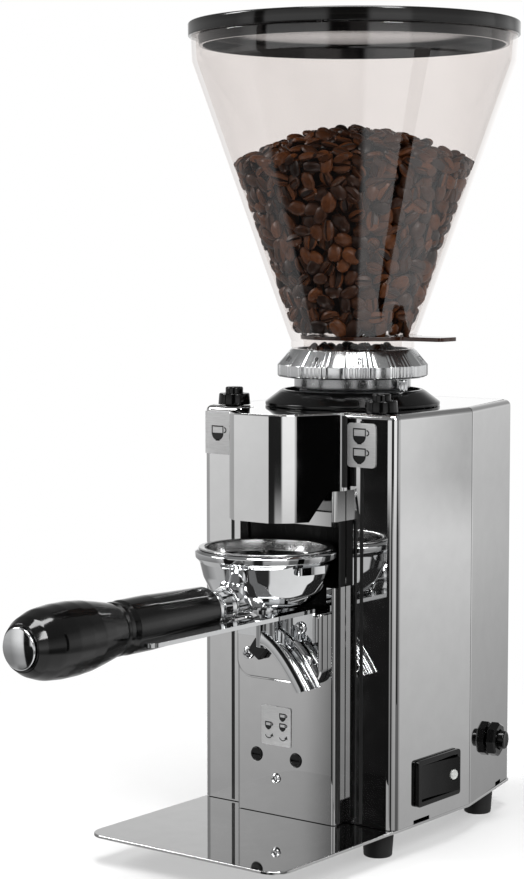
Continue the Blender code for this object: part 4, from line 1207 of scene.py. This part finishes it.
def dial_digits():
    """Digits 0 to 9 as thin slabs lying on the dial's cone."""
    low, high = Vector((DIAL_R - 0.2, BAND_TOP + 0.1)), Vector((31.9, DIAL_TOP - 0.7))
    slope = (high - low).normalized()
    normal = Vector((-slope.y, slope.x)) * -1
    shapes = bmesh.new()
    for k in range(10):
        curve = bpy.data.curves.new("digit", "FONT")
        curve.body, curve.size, curve.align_x, curve.extrude = str(k), 4.6, "CENTER", 0.05
        holder = bpy.data.objects.new("digit", curve)
        bpy.context.scene.collection.objects.link(holder)
        bpy.context.view_layer.update()
        mesh = bpy.data.meshes.new_from_object(holder.evaluated_get(bpy.context.evaluated_depsgraph_get()))
        around = radians(LOBE_START + 18 + 36 * k)
        for vert in mesh.vertices:
            x, y, z = vert.co
            spot = low + slope * (2.6 + y) + normal * (0.07 + z)
            a = around + x / spot.x
            vert.co = (spot.x * cos(a), spot.x * sin(a), spot.y)
        shapes.from_mesh(mesh)
        bpy.data.objects.remove(holder)
        bpy.data.curves.remove(curve)
        bpy.data.meshes.remove(mesh)
    bmesh.ops.remove_doubles(shapes, verts=shapes.verts, dist=0.001)
    return shapes


def adjusting_collar():
    """Glossy black flange under the dial with a narrower neck."""
    z = BODY_TOP + GAP
    loop = [(34.4, z, 0), (44.5, z, 0.3), (44.5, z + 1.5, 0.7), (37.4, COLLAR_TOP - 0.9, 1.2),
            (35.8, COLLAR_TOP, 0.5), (34.4, COLLAR_TOP, 0)]
    return turned(rounded(loop, 4), 128)


def lock_pin():
    """Small knurled pin."""
    def knurl(r, z, a):
        return (r - 0.18 * (0.5 + 0.5 * cos(18 * a)) if r > 2.0 and 1.0 < z < 5.0 else r), z
    loop = rounded([(0, 0, 0), (2.3, 0, 0.4), (2.3, 5.7, 0.7), (0, 5.7, 0)])
    rows = [p for p in loop if p[1] < 1.2] + [(2.3, 1.25), (2.3, 4.6)] + [p for p in loop if p[1] > 4.8]
    return turned(rows, 144, knurl)


class GRINDER_OT_dial(bpy.types.Operator):
    """Builds the collar, the grind dial with its digits and the lock pin"""
    bl_idname = "grinder.dial"
    bl_label = "Grind dial"

    def execute(self, context):
        piece("collar", adjusting_collar(), black_abs(), "machine", ["adjusting_collar"],
              at=HERE)
        piece("dial_ring", adjusting_dial(), satin_chrome(), "dial", ["adjusting_dial"],
              at=HERE)
        piece("dial_digits", dial_digits(), printed_ink(), "dial", at=HERE)
        piece("lock_pin_knob", lock_pin(), chrome_plate(), "lock_pin", ["dial_lock_pin"],
              at=(32.8, AXIS_Y - 2.9, COLLAR_TOP + GAP))
        return {"FINISHED"}


# --- controls --------------------------------------------------------------------------------------


class GRINDER_OT_controls(bpy.types.Operator):
    """Builds dose buttons, trimmers, the power switch and the fuse holder"""
    bl_idname = "grinder.controls"
    bl_label = "Buttons and switch"

    def execute(self, context):
        plastic, satin = black_abs(), black_abs_satin()
        for name, x in BUTTONS.items():
            at = (x, BUTTON_Y, BODY_TOP)
            base = rounded([(4.9, GAP, 0), (8.2, GAP, 0.3), (7.7, 6.0, 0.7), (4.9, 6.0, 0.3)])
            piece(f"{name}_button_ring", turned(base, 64), plastic, "machine",
                  [f"{name}_button_base"], at=at)
            cap = rounded([(0, -9, 0), (2.6, -9, 0), (2.6, 2, 0), (4.5, 2, 0.3), (4.5, 9.2, 0.9),
                           (0, 9.4, 0)])
            piece(f"{name}_button_cap", turned(cap, 64), plastic, f"{name}_button",
                  [f"{name}_dose_button"], at=at)
        for name, x in TRIMMERS.items():
            at = (x, COLUMN_FRONT - 0.8, TRIMMER_Z)
            loop = rounded([(0, -6.8, 0), (1.1, -6.8, 0), (1.1, -5, 0), (3.4, -5, 0), (3.4, 0, 0.35),
                            (0, 0, 0)])
            knob = carve(turned(loop, 48), block(-2.6, 2.6, -0.4, 0.4, -0.9, 1))
            piece(f"{name}_trimmer_knob", knob, satin, f"{name}_trimmer",
                  [f"{name}_dose_trimmer"], at=at, turn=(90, 0, 0))
        self.power_switch(plastic)
        self.fuse(plastic)
        return {"FINISHED"}

    def power_switch(self, plastic):
        """Bezel round the rocker, rocker with two faces, round indicator."""
        face = BODY_HALF + GAP
        flange = prism(rounded_box(SWITCH_L / 2, SWITCH_H / 2, 1.6), face, face + 2.0)
        flange.transform(Matrix(((0, 0, 1, 0), (1, 0, 0, 0), (0, 1, 0, 0), (0, 0, 0, 1))))
        body = block(46.3, face + 1, -17, 17, -10, 10)
        well = block(52, face + 4, -16, 16, -9, 9)
        bezel = carve(carve(flange, body, how="UNION"), well)
        piece("switch_frame", bezel, plastic, "machine", ["switch_bezel"], edge=0.35,
              at=SWITCH_AT)
        back = [(0, -14.6), (2.4, -14.6)]
        dished = bulged((2.4, -14.6), (3.5, 0.0), -7, 8)[1:] + bulged((3.5, 0.0), (6.2, 14.6), -9, 8)[1:]
        outline = [(-3, -4)] + back + dished + [(0, 14.6), (-3, 4)]
        rocker = prism(outline, -8.4, 8.4)
        seat = moved(disc(2.9, -1.6, 3), (5.4, 10.5, 0), (0, 90, -10))
        rocker = carve(rocker, seat)
        piece("switch_rocker", rocker, plastic, "rocker", ["power_rocker"], edge=0.4,
              at=(BODY_HALF - 1.6, *SWITCH_AT.yz))
        piece("indicator", disc(2.5, -1.2, 0.5, 0.4), lamp_lens(), "rocker", ["switch_lamp"],
              at=(BODY_HALF + 3.8, SWITCH_AT.y + 10.5, SWITCH_AT.z), turn=(0, 90, -10))

    def fuse(self, plastic):
        """Eight-sided holder with a slotted cap."""
        nut = turned([(5.6, GAP), (8.9, GAP), (8.9, 3.9), (8.0, 4.8), (5.6, 4.8)], 8)
        shell = turned([(5.1, -20), (6.0, -20), (6.0, 2), (5.1, 2)], 48)
        holder = carve(carve(nut, shell, how="UNION"), disc(5.1, -30, 9))
        turn = (0, 90, FUSE_TURN)
        piece("fuse_nut", holder, plastic, "machine", ["fuse_holder"], edge=0.3, at=FUSE_AT,
              turn=turn)
        cap = carve(disc(4.7, -12, 8.2, 0.8), block(-3.4, 3.4, -0.5, 0.5, 7.2, 9))
        piece("fuse_knob", cap, plastic, "fuse_plug", ["fuse_cap"], at=FUSE_AT, turn=turn)


class GRINDER_OT_feet(bpy.types.Operator):
    """Builds the rubber feet"""
    bl_idname = "grinder.feet"
    bl_label = "Feet"

    def execute(self, context):
        for name in ("front_left", "front_right", "rear_left", "rear_right"):
            low, high = in_frame("foot_" + name)
            r, top = (high.x - low.x) / 2, high.z - low.z
            loop = rounded([(0, 0.6, 0), (r - 3, 0.6, 0), (r - 3.4, 0, 0.3), (r - 0.9, 0, 1.0), (r, top, 0.4),
                            (0, top, 0)])
            piece("rubber_" + name, turned(loop, 64), black_rubber(), "machine",
                  ["foot_" + name], at=((low.x + high.x) / 2, (low.y + high.y) / 2, low.z))
        return {"FINISHED"}


# --- filter holder ---------------------------------------------------------------------------------
def portafilter_cup():
    """Cast and chromed bowl with its rim, two locking ears and the boss for the handle."""
    outside = [(0, 108.3, 0), (15.5, 108.3, 4.0), (22.0, 110.6, 6.0), (27.4, 116.2, 8.0), (30.8, 123.0, 10.0),
               (32.6, 130.4, 2.0), (33.6, 131.6, 0.6), (34.6, 132.6, 0.8), (34.8, 135.4, 0.8),
               (33.4, 136.4, 0.4), (0, 136.4, 0)]
    inside = [(0, 106, 0), (4.3, 106, 0), (4.3, 113.4, 0), (20.0, 113.4, 1.0), (23.2, 116.0, 1.0),
              (25.3, 120.8, 1.0), (29.6, 128.0, 1.0), (31.0, 131.0, 0.5), (31.0, 140, 0), (0, 140, 0)]
    cup = turned(rounded(outside, 5), 128)
    ears = []
    for k in range(2):
        wing = [(31.5, -8, 0), (36.0, -8, 1.2), (37.0, 0, 9.0), (36.0, 8, 1.2), (31.5, 8, 0)]
        ears.append(moved(prism(rounded(wing), 127.6, 131.3), turn=(0, 0, -14 + 180 * k)))
    boss = turned(rounded([(0, 19, 0), (8.0, 19, 0), (8.0, 31, 1.0), (8.6, 33.0, 0.3), (0, 33.0, 0)]), 64)
    return carve(carve(cup, *ears, moved(boss, (0, 0, HANDLE_Z + 1.2), (90, 0, 0)), how="UNION"),
                 turned(rounded(inside, 3), 128))


def filter_basket():
    """Pressed basket with its rolled rim and the snap groove round it."""
    loop = [(0, 116.4, 0), (22.3, 116.4, 1.5), (24.5, 120.9, 1.0), (28.9, 128.2, 1.0), (30.3, 131.2, 1.0),
            (30.3, 136.7, 0.3), (33.0, 136.7, 0.2), (33.0, 137.4, 0.3), (29.4, 137.4, 0.8),
            (29.4, 131.4, 1.0), (28.0, 128.6, 1.0), (23.6, 121.4, 1.0), (21.5, 117.2, 1.5), (0, 117.2, 0)]
    return turned(rounded(loop, 4), 128)


def spout_station(t):
    """Point and lean along the spout's channel, from under the cup out to the right."""
    return Vector((1.0 + 24.5 * t ** 0.9, 93.0 - 23.5 * t ** 1.45)), radians(8 + 62 * t)


def portafilter_spout():
    """Threaded pipe under the cup and one open curved channel."""
    pipe = turned(rounded([(3.2, 88, 0.3), (5.0, 88, 0.3), (5.0, 104.5, 0.3), (6.4, 104.5, 0.3),
                           (6.4, 108.2, 0.2), (3.2, 108.2, 0)]), 64)
    section = rounded([(-6.0, 3.5, 0.5), (-6.0, -3.2, 2.0), (-3.3, -4.6, 2.0), (3.3, -4.6, 2.0),
                       (6.0, -3.2, 2.0), (6.0, 3.5, 0.5), (4.9, 3.5, 0.5), (4.7, -2.5, 1.5),
                       (2.9, -3.4, 1.5), (-2.9, -3.4, 1.5), (-4.7, -2.5, 1.5), (-4.9, 3.5, 0.5)])
    rows = []
    for k in range(29):
        at, lean = spout_station(k / 28)
        rows.append([(at.x + sin(lean) * h, y, at.y + cos(lean) * h) for y, h in section])
    return carve(pipe, lofted(rows), how="UNION")


class GRINDER_OT_filter_holder(bpy.types.Operator):
    """Builds the docked filter holder: cup, basket, spout, ferrule, handle and its chrome cap"""
    bl_idname = "grinder.filter_holder"
    bl_label = "Filter holder"

    def execute(self, context):
        chrome, at = chrome_plate(), (0, CUP_Y, 0)
        piece("cup", portafilter_cup(), chrome, "portafilter", ["portafilter_cup"], at=at)
        piece("basket", filter_basket(), pressed_stainless(), "basket",
              ["filter_basket"], at=at)
        piece("spout", portafilter_spout(), chrome, "portafilter", ["portafilter_spout"], at=at)
        axis, turn = (0, 0, HANDLE_Z), (90, 0, 0)
        start, end = 72.0, -HANDLE_END - 0.4
        neck = [(0, 57.4, 0), (8.6, 57.4, 0.4), (8.2, 60, 2.0), (8.6, 66, 3.0), (10.2, 69.6, 0.6),
                (10.2, start - GAP, 0.3), (0, start - GAP, 0)]
        piece("ferrule", turned(rounded(neck), 96), chrome, "portafilter", ["handle_ferrule"],
              at=axis, turn=turn)
        grip = [(0, start, 0), (10.6, start, 0.4), (11.5, start + 1.2, 1.5), (12.0, 95, 30), (12.7, 114, 20),
                (12.6, 131, 2.0), (11.6, 134, 0.6), (12.4, 135, 0.5), (12.4, 137.4, 0.5), (11.6, 138.2, 0.6),
                (12.6, 140, 4.0), (14.6, 150, 20), (16.0, 158, 20), (16.6, 166, 20), (16.6, 175, 20),
                (15.8, 184, 18), (13.4, 191.2, 8.0), (10.6, 195.6, 1.2), (9.9, end - 2, 0.2), (0, end - 2, 0)]
        piece("handle", turned(rounded(grip, 6), 128), black_phenolic(), "portafilter",
              ["portafilter_handle"], at=axis, turn=turn)
        button = [(0, end - 2 + GAP, 0), (9.4, end - 2 + GAP, 0.2), (9.4, end - 0.2, 0.7), (0, end + 0.4, 0)]
        piece("handle_cap", turned(rounded(button), 96), chrome, "portafilter",
              ["handle_end_cap"], at=axis, turn=turn)
        return {"FINISHED"}


# --- works inside the casing -------------------------------------------------------------------------
class GRINDER_OT_works(bpy.types.Operator):
    """Gives the parts inside the casing their finishes"""
    bl_idname = "grinder.works"
    bl_label = "Works inside"

    def execute(self, context):
        dress(turned_steel(), "upper_burr_carrier", "upper_burr", "lower_burr", "lower_burr_carrier",
              "motor_rotor")
        dress(cast_aluminium(), "grinding_chamber", "motor_foot", "upper_end_bell")
        dress(varnished_laminations(), "motor_stator")
        dress(grey_case(), "run_capacitor")
        dress(circuit_board(), "timer_board")
        dress(black_abs_satin(), "cable_gland")
        return {"FINISHED"}


# --- stage -------------------------------------------------------------------------------------------
def around(degrees_east):
    """Place on the studio's horizon ramp: 0 faces the front of the machine, positive to its right."""
    return (degrees_east + 180) / 360


def above(elevation):
    """Place on the studio's height ramp, from straight down to straight up."""
    return (elevation + 90) / 180


# Brightness of the flats round the studio, by bearing in degrees: at the horizon, a little below it
# and well below it. HEIGHT dims the first two by elevation, and the ceiling is even.
HORIZON = [(-180, 0.6), (-160, 1.1), (-131, 1.1), (-128, 0.5), (-52, 0.55), (-46, 0.85),
           (-41, 0.98), (-38.4, 0.95), (-37.0, 0.84), (-36.2, 0.82), (-35.8, 0.01), (-28.5, 0.01), (-27, 1.0),
           (16, 1.0), (20, 0.02), (44, 0.02), (47, 1.25), (73, 1.25), (76, 0.7), (112, 0.62),
           (140, 1.0), (146, 0.98), (147.6, 0.66), (158, 0.75), (170, 0.95), (180, 0.55)]
LOW_HORIZON = [(-180, 0.5), (-160, 1.3), (-131, 1.3), (-126, 0.6), (-52, 0.6), (-46, 0.85), (-41, 1.0),
               (-36.3, 0.98), (-35.8, 0.02), (-2, 0.02), (2, 0.5), (14, 0.5), (18, 0.04), (31, 0.04),
               (34, 0.85), (44, 0.85), (47, 1.0), (73, 1.0), (75, 0.3), (110, 0.3), (116, 0.8),
               (140, 1.2), (146, 1.2), (150, 1.05), (170, 1.15), (180, 0.5)]
DEEP_HORIZON = [(-180, 0.55), (-50, 0.5), (-46, 0.03), (42, 0.03), (46, 0.8), (150, 0.9), (155, 0.6),
                (180, 0.55)]
HEIGHT = [(-90, 0.3), (-30, 0.35), (-15, 0.4), (-14, 0.43), (-10, 0.59), (-6.6, 0.8), (-4, 0.95), (4, 1.0),
          (9, 0.75), (14, 0.62), (18, 0.5), (25, 0.3), (60, 0.3), (90, 0.3)]
LOW_STARTS, DEEP_STARTS, CEILING_STARTS = (-6.0, -7.5), (-20.0, -26.0), (20, 38)     # degrees
CEILING = 0.22
FLOOR_R, FLAG_X, FLAG_Y, FLAG_Z = 0.64, 0.33, (-0.012, 0.052), (0.02, 0.3)     # metres
CAMERA_AT, CAMERA_TURN, CAMERA_PITCH, CAMERA_LENS = (0.6457, -0.83625, 0.2973), 37.69, 5.02, 89.84


def studio_world():
    """Pale background, with banded flats round the studio that only reflections and light see."""
    world = bpy.data.worlds.new("studio")
    bpy.context.scene.world = world
    world.use_nodes = True
    tree = world.node_tree
    tree.nodes.clear()
    direction = node(tree, "TexCoord").outputs["Generated"]
    split = node(tree, "SeparateXYZ", {"Vector": direction})
    front = node(tree, "Math", {0: split.outputs["Y"], 1: -1.0}, operation="MULTIPLY")
    turn = node(tree, "Math", {0: split.outputs["X"], 1: front.outputs["Value"]}, operation="ARCTAN2")
    east = node(tree, "MapRange", {"Value": turn.outputs["Value"], "From Min": -pi, "From Max": pi})
    rise = node(tree, "Math", {0: split.outputs["Z"]}, operation="ARCSINE")
    up = node(tree, "MapRange", {"Value": rise.outputs["Value"], "From Min": -pi / 2, "From Max": pi / 2})
    high, low, deep = [node(tree, "ValToRGB", {"Fac": east.outputs["Result"]},
                            stops=[(around(a), grey(v)) for a, v in ring])
                       for ring in (HORIZON, LOW_HORIZON, DEEP_HORIZON)]
    drop = node(tree, "MapRange", {"Value": rise.outputs["Value"], "From Min": radians(LOW_STARTS[0]),
                                   "From Max": radians(LOW_STARTS[1])})
    flats = node(tree, "Mix", {"Factor": drop.outputs["Result"], 6: high.outputs["Color"],
                               7: low.outputs["Color"]}, data_type="RGBA")
    level = node(tree, "ValToRGB", {"Fac": up.outputs["Result"]},
                 stops=[(above(e), grey(v)) for e, v in HEIGHT])
    shaded = node(tree, "VectorMath", {0: flats.outputs[2], 1: level.outputs["Color"]},
                  operation="MULTIPLY")
    sink = node(tree, "MapRange", {"Value": rise.outputs["Value"], "From Min": radians(DEEP_STARTS[0]),
                                   "From Max": radians(DEEP_STARTS[1])})
    lower = node(tree, "Mix", {"Factor": sink.outputs["Result"], 4: shaded.outputs["Vector"],
                               5: deep.outputs["Color"]}, data_type="VECTOR")
    ceiling = node(tree, "ValToRGB", {"Fac": up.outputs["Result"]},
                   stops=[(0.0, grey(0)), (above(CEILING_STARTS[0]), grey(0)),
                          (above(CEILING_STARTS[1]), grey(1))])
    soft = node(tree, "Mix", {"Factor": ceiling.outputs["Color"], 4: lower.outputs[1],
                              5: grey(CEILING)}, data_type="VECTOR")
    seen = node(tree, "LightPath").outputs["Is Camera Ray"]
    plain = node(tree, "Background", {"Color": (1.0, 1.0, 1.0, 1.0), "Strength": 1.0})
    studio = node(tree, "Background", {"Color": soft.outputs[1], "Strength": 1.0})
    both = node(tree, "MixShader", {0: seen, 1: studio.outputs["Background"], 2: plain.outputs["Background"]})
    out = node(tree, "OutputWorld")
    tree.links.new(both.outputs["Shader"], out.inputs["Surface"])


def staged(name, bm, material):
    """Puts a piece of the studio, drawn in metres, into the scene."""
    mesh = bpy.data.meshes.new(name)
    bm.to_mesh(mesh)
    bm.free()
    mesh.materials.append(material)
    obj = bpy.data.objects.new(name, mesh)
    bpy.context.scene.collection.objects.link(obj)
    return obj


def studio_floor():
    """Pale painted board under the machine that fades into the background."""
    material, tree, shader, place = blank("board_painted_pale")
    distance = node(tree, "VectorMath", {0: place}, operation="LENGTH")
    fade = node(tree, "MapRange", {"Value": distance.outputs["Value"], "From Min": 0.12, "From Max": 0.5,
                                    "To Min": 0.4},
                interpolation_type="SMOOTHSTEP")
    clear = node(tree, "BsdfTransparent")
    both = node(tree, "MixShader", {0: fade.outputs["Result"], 1: shader.outputs["BSDF"],
                                    2: clear.outputs["BSDF"]})
    tree.links.new(both.outputs["Shader"], tree.nodes["Material Output"].inputs["Surface"])
    shader.inputs["Base Color"].default_value = (*colours().floor, 1.0)
    shader.inputs["Roughness"].default_value = 0.6
    shader.inputs["Specular IOR Level"].default_value = 0.2
    bm = bmesh.new()
    bmesh.ops.create_circle(bm, cap_ends=True, segments=96, radius=FLOOR_R)
    staged("floor", bm, material).visible_glossy = False


def softbox(name, at, towards, width, height, power):
    """A soft rectangular light that shows in reflections only."""
    data = bpy.data.lights.new(name, "AREA")
    data.shape, data.size, data.size_y, data.energy = "RECTANGLE", width, height, power
    lamp = bpy.data.objects.new(name, data)
    bpy.context.scene.collection.objects.link(lamp)
    lamp.location = at
    lamp.rotation_euler = (Vector(towards) - Vector(at)).to_track_quat("-Z", "Y").to_euler()
    lamp.visible_camera = False


def dark_flag():
    """Black card beside the hood that only reflections see; it darkens the hood's right cheek."""
    material, tree, shader, place = blank("card_black_flock")
    shader.inputs["Base Color"].default_value = (*grey(0.002), 1.0)
    shader.inputs["Roughness"].default_value = 0.9
    shader.inputs["Specular IOR Level"].default_value = 0.0
    bm = bmesh.new()
    (front, rear), (low, high) = FLAG_Y, FLAG_Z
    corners = ((front, low), (rear, low), (rear, high), (front, high))
    bm.faces.new([bm.verts.new((FLAG_X, y, z)) for y, z in corners])
    flag = staged("dark_flag", bm, material)
    flag.visible_camera = flag.visible_diffuse = flag.visible_shadow = flag.visible_transmission = False


class GRINDER_OT_stage(bpy.types.Operator):
    """Sets up the floor, the studio light and the camera"""
    bl_idname = "grinder.stage"
    bl_label = "Stage"

    def execute(self, context):
        studio_world()
        studio_floor()
        dark_flag()
        softbox("top_light", (0.1, -0.1, 1.9), (0, 0.05, 0.2), 1.0, 0.8, 30)
        softbox("left_light", (-1.5, -0.9, 1.3), (0, 0, 0.2), 0.5, 0.9, 22)
        softbox("right_light", (1.3, -0.6, 1.35), (0, 0, 0.25), 0.4, 0.8, 16)
        context.scene.view_settings.view_transform = "Standard"
        data = bpy.data.cameras.new("camera")
        data.lens, data.sensor_width = CAMERA_LENS, 36.0
        camera = bpy.data.objects.new("camera", data)
        context.scene.collection.objects.link(camera)
        turn, pitch = radians(CAMERA_TURN), radians(CAMERA_PITCH)
        look = Vector((-sin(turn) * cos(pitch), cos(turn) * cos(pitch), -sin(pitch)))
        camera.location = CAMERA_AT
        camera.rotation_euler = look.to_track_quat("-Z", "Y").to_euler()
        context.scene.camera = camera
        return {"FINISHED"}


STEPS = (GRINDER_OT_stage, GRINDER_OT_casing, GRINDER_OT_outlet, GRINDER_OT_labels, GRINDER_OT_screws,
         GRINDER_OT_hopper, GRINDER_OT_beans, GRINDER_OT_dial, GRINDER_OT_controls, GRINDER_OT_feet,
         GRINDER_OT_filter_holder, GRINDER_OT_works)


class GRINDER_PT_pieces(bpy.types.Panel):
    """Lists the pieces of the grinder with their sizes and colours"""
    bl_idname = "GRINDER_PT_pieces"
    bl_label = "Burr Coffee Grinder"
    bl_space_type = "VIEW_3D"
    bl_region_type = "UI"
    bl_category = "Grinder"

    def draw(self, context):
        for group in (context.scene.grinder_sizes, context.scene.grinder_colours):
            box = self.layout.box()
            for name in group.bl_rna.properties.keys():
                if name not in ("rna_type", "name"):
                    box.prop(group, name)
        for step in STEPS:
            self.layout.operator(step.bl_idname)


CLASSES = (GrinderSizes, GrinderColours, *STEPS, GRINDER_PT_pieces)


def register():
    for cls in CLASSES:
        bpy.utils.register_class(cls)
    bpy.types.Scene.grinder_sizes = PointerProperty(type=GrinderSizes)
    bpy.types.Scene.grinder_colours = PointerProperty(type=GrinderColours)


def unregister():
    del bpy.types.Scene.grinder_colours
    del bpy.types.Scene.grinder_sizes
    for cls in reversed(CLASSES):
        bpy.utils.unregister_class(cls)


def main():
    register()
    for step in STEPS:
        group, name = step.bl_idname.split(".")
        getattr(getattr(bpy.ops, group), name)()


if __name__ == "__main__":
    main()
